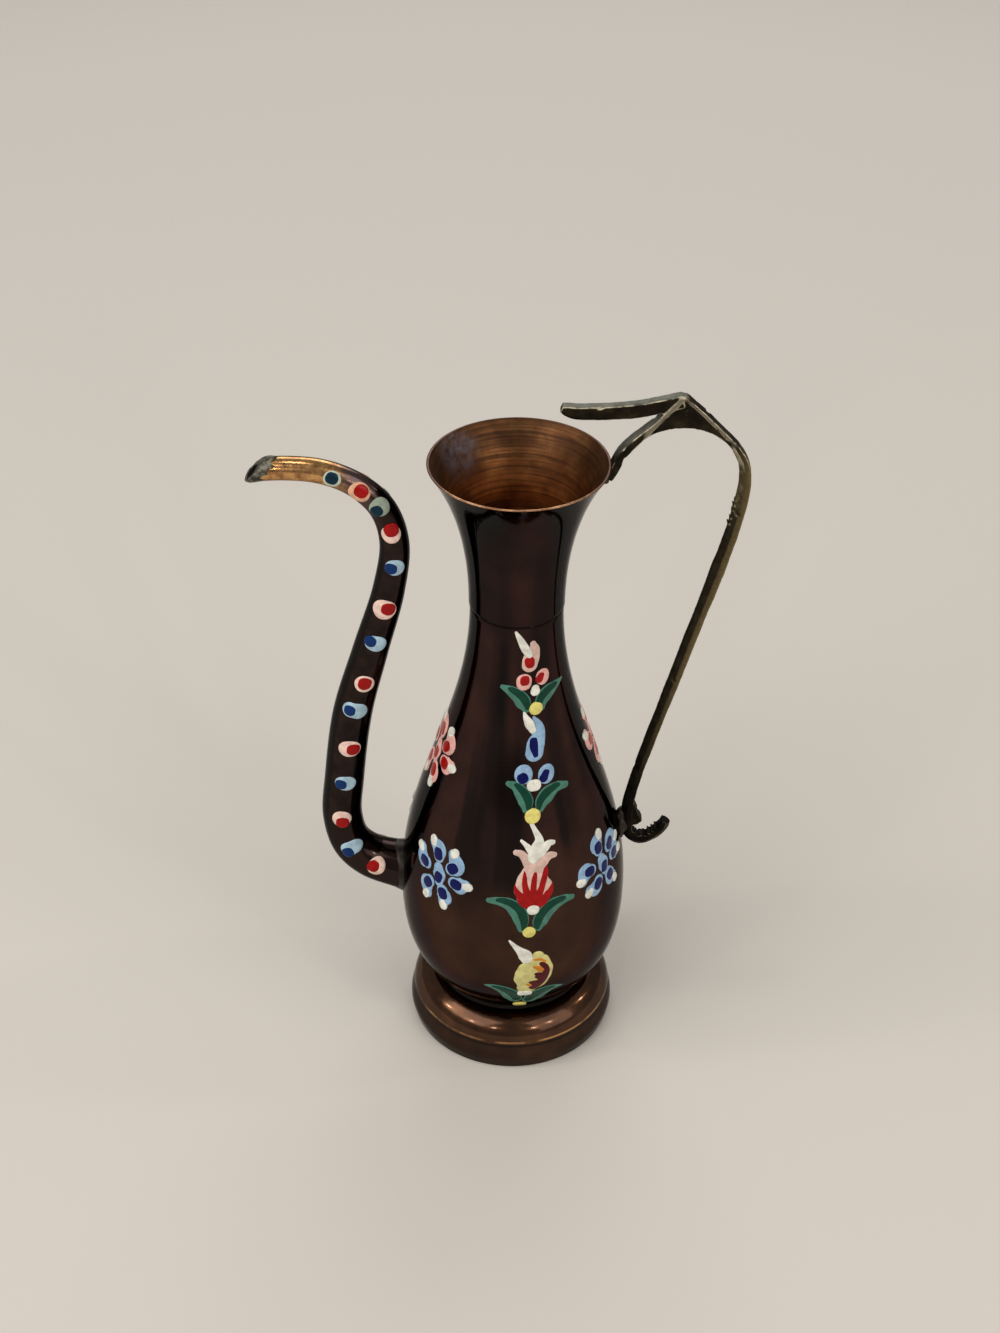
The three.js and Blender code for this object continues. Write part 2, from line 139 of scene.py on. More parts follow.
THUMB_ROUTE = [
    (-9.8, 12.0, 1.2), (-8.9, 11.6, 2.1), (-6.8, 11.15, 2.7), (-3, 11.15, 2.9), (1, 11.45, 2.95),
    (5.5, 12.0, 3.0), (12.6, 13.9, 2.6),
]
ARCH_CENTRE = (13.2, -1.4)
ARCH_HALF_WIDTH = 10.9
ARCH_HEIGHT = 9.7
ARCH_SPAN = (0.17 * math.pi, 0.74 * math.pi)
WEB_START = (5.3, 6.8)
APEX = (12.4, 15.1)
APEX_BACK = (13.8, 14.7)
WEB_SHOULDER = (23.7, 4.7)
TAIL_BURR = [(2.0, 6.6), (3.4, 2.7), (4.2, 0.9), (3.2, -0.2), (0.8, -0.4)]
# Filing marks on the limb: first and last station, side (1 is outer), number and size
LIMB_TEETH = [(14.9, 17.6, 1, 8, 0.75), (6.5, 7.1, -1, 5, 0.34)]
# How far a mark stands out for its size
TOOTH_RISE = 1.2
# Distance from the middle plane where a rib stands proud of the web
PROUD_OF_WEB_Y = (1.16, 1.28)
# Heights and distances from the axis over which the brass changes its look, from and to
DARK_TAIL_Z = (TAIL_Z, TAIL_Z + 45)
RUBBED_FROM_Z = (TAIL_Z + 8, TAIL_Z + 50)
RUBBED_BELOW_Z = (RIM_Z + 6, RIM_Z - 2)
# Below these heights the limb's inner faces take a painted shade
SHADED_BELOW_Z = (RIM_Z - 5, RIM_Z - 11)
DUSTY_FROM_Z = (RIM_Z - 5, RIM_Z - 1)
# Above these heights the edges' rubbed brass and painted highlight are strongest
BRIGHT_EDGE_Z = (RIM_Z - 2, RIM_Z + 3)
# Above these heights the ribs proud of the web carry rubbed brass that is partly a painted highlight
BRIGHT_RIDGE_Z = (RIM_Z + 4, RIM_Z + 6.5)
LIMB_X = (RIM_R + 4, RIM_R + 6)
BEYOND_ARM_X = (RIM_R + WEB_START[0], RIM_R + WEB_START[0] + 1)
BEFORE_APEX_X = (RIM_R + APEX[0] + 2.5, RIM_R + APEX[0])
# Lumps of solder at the tail and under the rim: place from there, and size
TAIL_LUMPS = [
    ((-0.3, 0, -0.8), (3.2, 3.3, 7.6)), ((-0.3, 0.3, 1.6), (2.2, 2.6, 4.0)),
    ((-0.4, -0.3, -2.8), (2.4, 2.8, 4.2)),
]
RIM_LUMPS = [((-1.2, 0, -2.5), (2.2, 4.0, 2.6)), ((-0.5, 0.4, -1.6), (2.0, 3.6, 2.2))]
# Skins: size of the cells that fuse them, rounds of smoothing, bumps as (cells per millimetre, depth)
# and dents as (cells per millimetre, threshold, depth)
HANDLE_SKIN = {
    "voxel": 0.2, "smoothing": 2, "bumps": [(0.2, 0.12), (0.9, 0.05)], "dents": (0.5, 0.45, 0.8),
}
TAIL_SOLDER_SKIN = {"voxel": 0.2, "smoothing": 3, "bumps": [(0.5, 0.4), (1.4, 0.15)]}
RIM_SOLDER_SKIN = {"voxel": 0.16, "smoothing": 3, "bumps": [(0.6, 0.3), (1.6, 0.1)]}
# What sets the pattern of the dents apart from that of the bumps
DENT_SHIFT = (7, 3, 1)

# How fast the lacquer's long streaks, partly uneven lacquer and partly painted dark reflections, change with
# height, in turns per millimetre, and how much of them is missing where the lacquer is most even, and on the
# neck as a share of that
STREAK_DRIFT = 0.006
EVENNESS = 0.9
NECK_EVENNESS = 0.7
# Heights between which the lacquer thins towards the foot
THIN_ON_BELLY_Z = (72, 34)
# Near-black colour of the painted dark reflections, in the lacquer's bands and on the spout's outer side
PAINTED_DARK_REFLECTION = (0.004, 0.002, 0.002)
# Bright copper along the foot's lip: worn copper, and partly a painted highlight
WORN_COPPER_AND_HIGHLIGHT = (0.55, 0.29, 0.12)
# How far below the foot's groove its shade begins
GROOVE_SHADE = 0.9
# Bands of painted dark reflection, laid into the lacquer as darker colour: from and to, in degrees from the
# front, their lower and upper ends, softness of their sides in degrees, and strength
PAINTED_REFLECTION_BANDS = [
    (-10.5, 4.7, 53, 96, 1.6, 0.8), (-35, -26, 54, 96, 1.6, 0.8), (29, 35, 61, 96, 1.6, 0.8),
    (-62, -6, 108, 190, 12, 0.45),
]
# Heights over which a band fades at its lower and upper end
BAND_LOW_FADE = 3.0
BAND_HIGH_FADE = 30.0
# How far a band's sides wander, in degrees
BAND_WANDER = 2.5

# Lamps: turned from the front and raised, in degrees, and their size in metres
LAMPS = [(-80, 34), (-45, 32), (-18, 30), (26, 28), (46, 33), (97, 36), (-60, 84)]
LAMP_DISTANCE = 1.1
LAMP_SIZE = 0.08
LAMP_POWER = 0.6
LAMP_TINT = (1.0, 0.93, 0.82)
# Large soft lights, as place, size, power and tint
SOFT_LIGHTS = {
    "window": ((-0.9, -0.6, 1.1), (1.4, 1.1), 11, (1.0, 0.98, 0.95)),
    "fill": ((1.0, -0.8, 0.9), (1.1, 1.4), 7, (1.0, 0.95, 0.9)),
    "back": ((0.1, 1.2, 1.0), (1.2, 0.6), 6, (1.0, 1.0, 1.0)),
}
LIGHT_TARGET = (0, 0, 0.08)

# Floor and room: sizes in metres
FLOOR_REACH = 4.0
FLOOR_FADE = (0.6, 1.5)
FLOOR_COLOUR = (0.62, 0.585, 0.54, 1)
FLOOR_ROUGHNESS = 0.9
ROOM_COLOUR = (0.84, 0.82, 0.78, 1)
ROOM_STRENGTH = 0.36

# Inside of the mouth: height where the flare begins, and the painted greyish sheen, a reflection laid into
# the copper's colour on the spout's side, as its place and the distances up to which it is full and at which
# it ends
FLARE_Z = 128.3
PAINTED_SHEEN_PLACE = (-12.3, 9.0, 137.5)
PAINTED_SHEEN_CORE = 2.0
PAINTED_SHEEN_REACH = 6.8

# Fineness: numbers of points, and of steps between stations
AROUND = 240
BOTTOM_POINTS = 64
LONG_CURVE_POINTS = 110
TUBE_SIDES = 64
TUBE_STEPS = 420
SPOUT_LINE_POINTS = 2000
# Points of the line over which the tube's radius is evened out
SPOUT_BLUR = 60
STRAP_STEPS = 16
STRAP_SIDES = 28
LUMP_RINGS = 21
STROKE_STEPS = 7
STROKE_SIDES = 13
CAP_STEPS = 7
# Radius of the pinhole that closes the spun bottom
POLE_R = 0.004

# The tin's dents follow the seed; the roughness is that of the noise in all looks
NOISE_SEED = 5
NOISE_ROUGHNESS = 0.55

# Sockets of the node that mixes colours
MIX_FACTOR = 0
MIX_FIRST = 6
MIX_SECOND = 7
MIX_RESULT = 2

# Enamel colours, as seen on the jug
ENAMEL = {
    "white": "E2E2D8",
    "pink": "E0ABA3",
    "shell": "EACBBE",
    "peach": "DCA98A",
    "blush": "D4B5AA",
    "red": "9A0D0D",
    "sky": "8EAFCE",
    "ice": "A5C1D2",
    "mist": "B9C3B2",
    "sage": "95A193",
    "navy": "020C52",
    "azure": "062F66",
    "petrol": "082A3A",
    "leaf": "083D2E",
    "teal": "48796B",
    "yellow": "DACF76",
    "straw": "CFC884",
    "orange": "C8802A",
    "maroon": "4E0610",
}
# How deep the paint's lower skin lies in the metal, and the least sizes of its strokes
PAINT_SINK = 0.08
LEAST_HALF_WIDTH = 0.08
LEAST_STRETCH = 0.02
# Share of a stroke's greatest width from which its paint stands at full height
FULL_HEIGHT_SHARE = 0.7
# Height of a stroke and of the paint that it lies on, by layer
LAYERS = [(0.26, 0.0), (0.12, 0.2), (0.16, 0.24)]
# The column's motifs: how far their yellow dots lie right of the front, and their heights
COLUMN = {"pink_bud": (4.2, 91.1), "blue_bud": (3.9, 68.9), "tulip": (3.6, 42.5), "yellow_bud": (1.9, 17.3)}
# Strokes as colour, layer and stations (across, up, half width) from the motif's yellow dot
STROKES = {
    "pink_bud": [
        ("blush", 0, [(-0.8, 14.5, 0.6), (-0.6, 13.0, 1.3), (-1.1, 11.1, 1.75), (-1.4, 9.7, 1.6)]),
        ("red", 1, [(-1.5, 10.7, 1.1), (-1.4, 9.7, 0.95), (-1.4, 9.0, 0.45)]),
        ("white", 2, [(-4.2, 17.4, 0.3), (-3.3, 15.6, 0.65), (-2.5, 13.8, 0.85), (-1.7, 12.3, 0.7),
                      (-1.3, 11.3, 0.3)]),
        ("pink", 0, [(-2.5, 6.2, 1.6), (-2.5, 5.8, 1.6)]),
        ("red", 1, [(-2.4, 6.6, 1.0), (-2.4, 6.2, 1.0)]),
        ("pink", 0, [(1.4, 6.7, 1.5), (1.4, 6.2, 1.5)]),
        ("red", 1, [(1.0, 7.0, 0.7), (0.6, 6.2, 0.85)]),
        ("white", 1, [(-0.2, 4.3, 0.8), (-0.2, 3.7, 1.0)]),
    ],
    "blue_bud": [
        ("sky", 0, [(-0.1, 20.3, 0.3), (1.0, 18.4, 0.9), (1.0, 16.4, 1.5), (0.5, 14.8, 1.95),
                    (0.2, 13.0, 1.9)]),
        ("navy", 1, [(-0.1, 15.5, 0.8), (0.0, 14.2, 0.9), (0.4, 12.4, 0.6)]),
        ("white", 2, [(-2.1, 21.6, 0.25), (-1.7, 20.5, 0.6), (-1.0, 19.1, 0.9), (-0.3, 17.7, 0.7)]),
        ("sky", 0, [(-2.0, 8.9, 1.85), (-2.0, 8.5, 1.85)]),
        ("navy", 1, [(-2.2, 8.1, 1.15), (-2.1, 7.9, 1.15)]),
        ("sky", 0, [(2.8, 8.3, 1.8), (2.8, 7.9, 1.8)]),
        ("navy", 1, [(2.6, 8.4, 0.85), (2.2, 7.5, 1.0)]),
        ("white", 2, [(-0.2, 6.3, 1.15), (0.5, 6.3, 1.15)]),
    ],
    "tulip": [
        ("blush", 0, [(-3.0, 18.9, 0.6), (-2.0, 18.6, 0.8), (-1.1, 17.6, 0.95), (-0.4, 16.1, 1.0)]),
        ("blush", 0, [(5.2, 17.3, 0.55), (4.2, 17.4, 0.85), (3.1, 16.9, 1.2), (2.4, 15.9, 1.2)]),
        ("blush", 0, [(1.1, 17.0, 1.8), (1.1, 15.6, 2.2), (0.8, 14.2, 2.6), (0.6, 12.5, 3.45),
                      (0.7, 11.0, 4.1), (0.8, 10.2, 4.05), (0.9, 9.7, 3.8)]),
        ("red", 1, [(-3.1, 11.7, 0.1), (-2.9, 10.7, 0.45), (-2.3, 9.6, 0.75), (-1.3, 8.4, 1.0)]),
        ("red", 1, [(-1.1, 15.3, 0.1), (-1.1, 13.9, 0.45), (-1.1, 12.1, 0.6), (-0.7, 10.1, 0.75),
                    (0.0, 8.4, 0.85)]),
        ("red", 1, [(1.1, 15.5, 0.1), (1.0, 14.0, 0.5), (0.8, 12.3, 0.65), (0.7, 10.4, 0.75),
                    (0.7, 8.1, 0.9)]),
        ("red", 1, [(3.2, 15.4, 0.25), (3.2, 14.1, 0.6), (2.8, 12.3, 0.7), (2.3, 10.4, 0.75),
                    (1.5, 8.4, 0.95)]),
        ("red", 1, [(4.8, 11.3, 0.1), (4.5, 10.2, 0.5), (3.9, 9.0, 0.8), (2.8, 8.0, 1.0)]),
        ("red", 1, [(-1.9, 9.2, 0.8), (-1.3, 7.9, 1.1), (0.2, 7.0, 1.2), (1.6, 7.0, 1.2), (3.0, 7.9, 1.1),
                    (3.8, 9.2, 0.8)]),
        ("white", 1, [(0.1, 24.8, 0.4), (0.9, 23.2, 0.55), (1.7, 21.4, 0.85), (1.5, 19.8, 1.4),
                      (1.0, 18.5, 1.6), (0.5, 17.5, 1.2)]),
        ("white", 1, [(-1.9, 21.4, 0.3), (-1.1, 20.6, 0.45), (-0.3, 19.6, 0.65), (0.3, 18.5, 0.7)]),
        ("white", 1, [(4.8, 20.1, 0.5), (3.9, 20.1, 0.75), (2.9, 19.4, 1.0), (2.1, 18.5, 1.0)]),
        ("white", 2, [(0.6, 5.7, 1.2), (0.9, 5.7, 1.2)]),
    ],
    "yellow_bud": [
        ("straw", 0, [(3.7, 18.1, 1.4), (3.9, 17.0, 2.4), (3.7, 15.6, 3.3), (3.3, 14.0, 3.9),
                      (2.7, 11.8, 4.1), (2.1, 9.8, 3.5), (1.5, 8.2, 2.2)]),
        ("orange", 1, [(3.0, 17.3, 0.3), (4.3, 17.2, 0.35), (5.3, 16.4, 0.3)]),
        ("maroon", 1, [(3.1, 16.4, 0.35), (4.6, 15.8, 0.7), (5.5, 14.3, 0.75), (5.4, 12.4, 0.9),
                       (4.7, 10.7, 1.05), (3.7, 9.4, 1.15), (2.7, 8.3, 0.9)]),
        ("orange", 2, [(2.6, 15.3, 0.25), (3.6, 14.9, 0.6), (4.4, 14.0, 0.7)]),
        ("maroon", 1, [(2.2, 13.5, 0.25), (3.2, 13.0, 0.5), (4.5, 12.3, 0.9)]),
        ("maroon", 1, [(3.4, 12.0, 0.5), (4.8, 11.2, 0.9)]),
        ("maroon", 1, [(1.3, 10.7, 0.35), (2.4, 10.2, 0.7), (3.8, 9.8, 1.1)]),
        ("orange", 2, [(1.6, 9.6, 0.35), (2.2, 9.2, 0.3)]),
        ("white", 2, [(-2.3, 22.9, 0.25), (-1.2, 21.5, 0.55), (-0.1, 20.2, 0.95), (0.9, 18.9, 1.45),
                      (1.3, 17.7, 1.2)]),
        ("white", 2, [(0.2, 6.2, 0.8), (1.9, 6.2, 0.8)]),
    ],
}
# Leaves, left and right of each motif's stem
LEAVES = {
    "pink_bud": [
        [(-6.8, 4.8, 0.5), (-5.3, 4.2, 1.1), (-3.5, 2.9, 1.5), (-2.4, 1.2, 1.45), (-2.0, 0.2, 0.9)],
        [(6.7, 3.9, 0.3), (4.5, 3.3, 1.1), (2.5, 2.6, 1.7), (1.3, 1.3, 1.6), (1.1, 0.1, 1.0)],
    ],
    "blue_bud": [
        [(-5.0, 6.8, 0.6), (-3.6, 6.3, 1.0), (-2.3, 4.8, 1.5), (-1.4, 3.0, 1.5), (-1.2, 1.6, 1.0)],
        [(7.5, 4.5, 0.65), (5.3, 4.8, 1.1), (3.3, 4.0, 1.7), (2.0, 2.7, 1.6), (1.5, 1.4, 1.0)],
    ],
    "tulip": [
        [(-8.5, 7.6, 0.6), (-6.4, 7.7, 1.0), (-4.2, 7.1, 1.5), (-2.4, 5.3, 1.8), (-1.6, 2.8, 1.6),
         (-1.5, 0.9, 0.9)],
        [(9.5, 6.4, 0.6), (7.3, 6.5, 1.2), (4.9, 5.8, 1.7), (3.1, 4.1, 1.9), (2.2, 1.9, 1.6),
         (2.0, 0.8, 0.8)],
    ],
    "yellow_bud": [
        [(-7.5, 8.4, 0.2), (-5.3, 8.1, 0.9), (-3.3, 7.0, 1.6), (-1.8, 5.2, 2.1), (-1.1, 3.5, 1.7)],
        [(9.5, 6.0, 0.2), (7.0, 6.3, 1.1), (4.9, 5.4, 1.8), (3.2, 3.9, 2.2), (2.2, 2.5, 1.7)],
    ],
}
# Share by which a stroke's width wanders
UNEVEN = 0.025
# A leaf and its darker stroke: heights, how deep the stroke lies in the leaf, its width and shift as
# shares of the leaf's half width, and the half width of its tip
LEAF_HEIGHT = 0.2
LEAF_SHADE_HEIGHT = 0.08
LEAF_SHADE_SINK = 0.02
LEAF_SHADE_WIDTH = 0.52
LEAF_SHADE_SHIFT = 0.32
LEAF_SHADE_TIP = 0.15
# Yellow dots: radius and stretch, and their height and lift
STEM_DOT = {
    "pink_bud": (1.35, 0.1), "blue_bud": (1.6, 0.05), "tulip": (1.35, 0.05),
    "yellow_bud": (1.0, 0.5),
}
STEM_DOT_LAYER = (0.24, 0.14)
# Petals: direction, distance from the flower's middle, and how far the white touch swings aside
PETALS = [(101, 5.5, 12), (42, 5.4, 22), (-3, 5.6, 4), (-65, 5.1, -6), (-128, 5.2, 14), (170, 5.5, -16)]
# A petal and its white touch, as (distance from the petal's middle, half width); the petal's last
# station swings aside with the touch
PETAL = [(-1.5, 1.45), (0, 1.95), (1.2, 1.35)]
WHITE_TOUCH = [(1.1, 0.7), (1.6, 1.0), (2.0, 0.95)]
PETAL_CORE = -0.9
PETAL_CORE_R = 1.2
CORE_STRETCH = 0.35
# The seventh petal, in the flower's middle
HEART = [(0.3, -1.6, 1.2), (0.1, 0.0, 1.7), (-0.3, 1.3, 1.3)]
HEART_CORE = (0.1, -0.6)
HEART_CORE_R = 1.1
HEART_CORE_LEAN = 80
# The blue rosettes' height, and their places in degrees from their column
ROSETTE_Z = 51.9
LEFT_ROSETTE = -42.6
RIGHT_ROSETTE = 56.4
# Rosettes on the shoulder's sides, as degrees from the front and height
SIDE_ROSETTES = {"spout": (-78.0, 74.6), "handle": (101.0, 75.6)}
# Radius of the tube below which its dots shrink
FULL_DOT_TUBE_R = 2.7
# Along the spout, turn towards the jug, half sizes round and along, where the core lies (round and
# along), and the ground's colour
SPOUT_DOTS = [
    (14.6, 18, 2.3, 2.1, -0.3, 0.7, "shell"), (22.6, 14, 2.6, 1.9, -1.3, -0.6, "ice"),
    (31.1, 4, 2.1, 2.1, 0.1, -0.8, "shell"), (40.9, 6, 2.3, 1.8, -0.9, -0.2, "ice"),
    (50.2, 8, 2.4, 2.0, 0.7, 0.0, "shell"), (60.2, 2, 2.7, 1.9, -1.0, -0.1, "ice"),
    (67.2, 8, 2.1, 2.0, 0.0, 0.2, "shell"), (77.4, 4, 2.3, 1.8, -1.1, 0.3, "ice"),
    (85.7, -2, 2.5, 2.2, 0.7, 0.4, "shell"), (95.7, 6, 2.0, 1.7, -0.7, -0.2, "ice"),
    (103.2, 2, 1.9, 2.0, 0.3, 0.9, "shell"), (109.3, 12, 2.2, 1.8, -0.8, -0.2, "sage"),
    (114.1, 4, 1.9, 2.3, 0.5, -0.1, "peach"), (119.8, 8, 1.9, 1.9, 0.2, 0.1, "mist"),
]
# Colour and radius of the core on each ground
SPOUT_CORES = {
    "shell": ("red", 1.5), "ice": ("azure", 1.3), "sage": ("petrol", 1.3), "peach": ("red", 1.5),
    "mist": ("petrol", 1.4),
}
# Rings of the tin on the spout's tip: distance from the tube's skin, distance from the slanted cut,
# shift to the front, and how much farther the ring's back stands out than its front
TIP_SOLDER_RINGS = [
    (0.02, -1.9, 0, 0), (0.13, -1.1, 0, 0), (0.12, -0.7, 0, 0), (-0.1, -0.1, 0, 0), (-0.45, 0.2, 0.05, 0.1),
    (-0.75, 0.3, 0.15, 0.15), (-0.98, 0.1, 0.2, 0.2), (-1.05, -0.5, 0.2, 0.1), (-0.9, -1.3, 0.1, 0),
    (-0.2, -1.5, 0, 0),
]
# Fillet round the spout's foot: rings as distance from the tube's skin and reach up the tube, how
# far from the skin its start is sought, and its waves: cells round the tube and share of the reach
FILLET_RINGS = [(-0.2, -0.9), (0.35, -0.6), (0.3, 0.1), (0.16, 0.8), (0.05, 1.5), (-0.1, 1.7)]
FILLET_START = 0.2
FILLET_SCALE = 1.7
FILLET_UNEVEN = 0.5
# How far the edge of the tin wanders along the tip, and how much nearer its hole lies to the underside
TIN_EDGE = 1.2
TIN_EDGE_SCALE = 2.5
HOLE_DROP = 0.35
# Rings of the tin from which its hole lies off the middle, and from which it is painted black for the shade
# in the bore
HOLE_RING = 4
BORE_SHADE_RING = 6
TIN_DENT_SCALE = 0.9
TIN_DENT_DEPTH = 0.16
# How square the edges of the handle's bars are: 1 is round, 0 is sharp
EDGE_SQUARENESS = 0.3


# Frame

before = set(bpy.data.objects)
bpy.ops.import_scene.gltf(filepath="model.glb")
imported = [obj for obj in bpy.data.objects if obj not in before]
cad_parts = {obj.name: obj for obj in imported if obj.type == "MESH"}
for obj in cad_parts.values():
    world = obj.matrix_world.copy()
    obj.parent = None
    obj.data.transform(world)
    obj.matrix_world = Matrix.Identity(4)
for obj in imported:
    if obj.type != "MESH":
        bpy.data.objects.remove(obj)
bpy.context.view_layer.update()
shell_low, shell_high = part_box("body_shell")
AXIS_X = (shell_low.x + shell_high.x) / 2 / MM
noise.seed_set(NOISE_SEED)


def linear(code):
    """The linear colour of a six-digit display colour."""
    values = [int(code[i:i + 2], 16) / 255 for i in (0, 2, 4)]
    return [v / 12.92 if v <= 0.04045 else ((v + 0.055) / 1.055) ** 2.4 for v in values]


# Curves and outlines

def catmull_rom(points, per_span):
    """Points on a smooth centripetal curve through the given ones, in any number of columns."""
    points = np.asarray(points, float)
    ends = [2 * points[0] - points[1], *points, 2 * points[-1] - points[-2]]
    out = []
    for p0, p1, p2, p3 in zip(ends, ends[1:], ends[2:], ends[3:]):
        pairs = ((p0, p1), (p1, p2), (p2, p3))
        d0, d1, d2 = (math.sqrt(max(np.linalg.norm(b - a), 1e-8)) for a, b in pairs)
        start = ((p1 - p0) / d0 - (p2 - p0) / (d0 + d1) + (p2 - p1) / d1) * d1
        end = ((p2 - p1) / d1 - (p3 - p1) / (d1 + d2) + (p3 - p2) / d2) * d1
        for t in np.arange(per_span) / per_span:
            bend = (3 * (p2 - p1) - 2 * start - end) * t * t
            twist = (2 * (p1 - p2) + start + end) * t ** 3
            out.append(p1 + start * t + bend + twist)
    out.append(points[-1])
    return np.array(out)


def bezier(corners, count):
    """Evenly spaced parameters on a Bezier curve of degree two or three."""
    corners = np.asarray(corners, float)
    t = np.linspace(0, 1, count)[:, None]
    while len(corners) > 1:
        corners = [a * (1 - t) + b * t for a, b in zip(corners, corners[1:])]
    return corners[0]


def directions(line):
    """The unit direction of a line at each of its points."""
    along = np.gradient(line, axis=0)
    return along / np.maximum(np.linalg.norm(along, axis=1), 1e-6)[:, None]


def offset(outline, distance):
    """The outline moved to the right of its own direction."""
    along = directions(outline)
    return outline + np.stack([along[:, 1], -along[:, 0]], 1) * distance


def resample(points, count):
    """The same line with evenly spaced points."""
    run = np.concatenate([[0], np.cumsum(np.linalg.norm(np.diff(points[:, :2], axis=0), axis=1))])
    even = np.linspace(0, run[-1], count)
    return np.stack([np.interp(even, run, column) for column in points.T], 1)


def round_end(start, end, bulge, count=7):
    """A half round from the last point of one skin to the first point of the other."""
    start, end = np.asarray(start), np.asarray(end)
    middle, half = (start + end) / 2, (end - start) / 2
    out = np.array([-half[1], half[0]]) * -bulge
    turn = np.linspace(0, math.pi, count)[1:-1, None]
    return middle - half * np.cos(turn) + out * np.sin(turn)


def ring_turns(count):
    """Evenly spaced turns round a ring, in radians."""
    return np.arange(count) / count * 2 * math.pi


def body_outline():
    """The body's outer skin, from the pole of its bottom to the lap."""
    turn = np.linspace(0, math.pi / 2, BOTTOM_POINTS)[:-1]
    power = 2 / BOTTOM_SQUARENESS
    bottom = np.stack([BELLY_R * np.sin(turn) ** power, BELLY_Z - BOTTOM_DEPTH * np.cos(turn) ** power], 1)
    neck_top = SEAM_Z - LAP_STEP
    belly = [(BELLY_R, BELLY_Z), (BELLY_R, BELLY_Z + BELLY_RISE)]
    neck = [(NECK_R, neck_top - NECK_FALL), (NECK_R, neck_top)]
    shoulder = bezier(belly + neck, LONG_CURVE_POINTS)
    return np.concatenate([bottom, shoulder])


def collar_outline():
    """The collar's outer skin, from the seam to the rim."""
    curl_start = (RIM_R - RIM_CURL * math.cos(RIM_SLOPE), RIM_Z - RIM_CURL * math.sin(RIM_SLOPE))
    corners = [(COLLAR_R, SEAM_Z), (COLLAR_R, SEAM_Z + COLLAR_RISE), curl_start, (RIM_R, RIM_Z)]
    return bezier(corners, LONG_CURVE_POINTS)


def underside_at(radius):
    """Height of the body's rounded bottom at a radius."""
    share = (radius / BELLY_R) ** BOTTOM_SQUARENESS
    return BELLY_Z - BOTTOM_DEPTH * (1 - share) ** (1 / BOTTOM_SQUARENESS)


def foot_outline():
    """The foot's outer skin: hem, bead, slope, valley, and the seat that follows the body's underside."""
    hem = np.array([(HEM_R, 0.0), (BASE_R - HEM_ROUND, 0.0)])
    bead = catmull_rom([(BASE_R, HEM_ROUND), (BEAD_R, BEAD_Z), (GROOVE_R, GROOVE_Z)], 12)
    slope = bezier([(LIP_R, LIP_Z), (LIP_R - SLOPE_BULGE, SHOULDER_Z), (CROWN_R, CROWN_Z)], 26)
    seat_top = underside_at(SEAT_OUTER_R) - SEAT_DROP
    low = ((CROWN_R + SEAT_OUTER_R) / 2, seat_top - VALLEY_DROP)
    valley = bezier([(CROWN_R, CROWN_Z), low, (SEAT_OUTER_R, seat_top)], 10)[1:]
    seat = np.linspace(SEAT_OUTER_R, SEAT_INNER_R, 8)[1:]
    seat_line = np.stack([seat, underside_at(seat) - SEAT_DROP], 1)
    return np.concatenate([hem, bead, slope, valley, seat_line])


body_line = body_outline()
collar_line = collar_outline()
body_slope = np.gradient(body_line[:, 0], body_line[:, 1])


def body_radius(height):
    """The body's outer radius at a height."""
    return np.interp(height, body_line[:, 1], body_line[:, 0])


# Mesh helpers

def grid_faces(rows, columns, closed_rings=True, closed_rows=False):
    """Four-sided faces between neighbouring rings of points."""
    faces = []
    for i in range(rows if closed_rows else rows - 1):
        below = (i + 1) % rows
        for j in range(columns if closed_rings else columns - 1):
            side = (j + 1) % columns
            faces.append((i * columns + j, i * columns + side, below * columns + side, below * columns + j))
    return faces


def new_piece(name, points, faces, looks, replaced=(), look_of=None):
    """A smooth-shaded object from points in millimetres from the jug's axis."""
    mesh = bpy.data.meshes.new(name)
    metres = (np.asarray(points, float) + (AXIS_X, 0, 0)) * MM
    mesh.from_pydata(metres.tolist(), [], faces)
    for look in looks:
        mesh.materials.append(look)
    if look_of is not None:
        mesh.polygons.foreach_set("material_index", look_of)
    mesh.polygons.foreach_set("use_smooth", [True] * len(mesh.polygons))
    mesh.validate()
    mesh.update()
    piece = bpy.data.objects.new(name, mesh)
    bpy.context.scene.collection.objects.link(piece)
    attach(piece, "root")
    if replaced:
        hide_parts(*replaced)
    return piece


def closed_skin(name, rings, looks, replaced, look_rows=None):
    """A piece whose skin closes round its rings and from the last ring to the first.

    look_rows picks a material for each row of faces.
    """
    points = np.asarray(rings)
    faces = grid_faces(len(points), points.shape[1], closed_rows=True)
    look_of = None if look_rows is None else np.repeat(look_rows, points.shape[1]).tolist()
    return new_piece(name, points.reshape(-1, 3), faces, looks, replaced, look_of)


def spun(name, outline, looks, replaced, look_rows=None):
    """A closed ring of sheet spun round the axis."""
    turn = ring_turns(AROUND)
    radius, height = outline[:, 0][:, None], outline[:, 1][:, None]
    rings = np.stack([radius * np.sin(turn), -radius * np.cos(turn), height + 0 * turn], 2)
    return closed_skin(name, rings, looks, replaced, look_rows)


# Node helpers

def rgba(tone):
    """A colour with its alpha, from a grey or from three values."""
    return (*tone, 1.0) if hasattr(tone, "__len__") else (tone, tone, tone, 1.0)


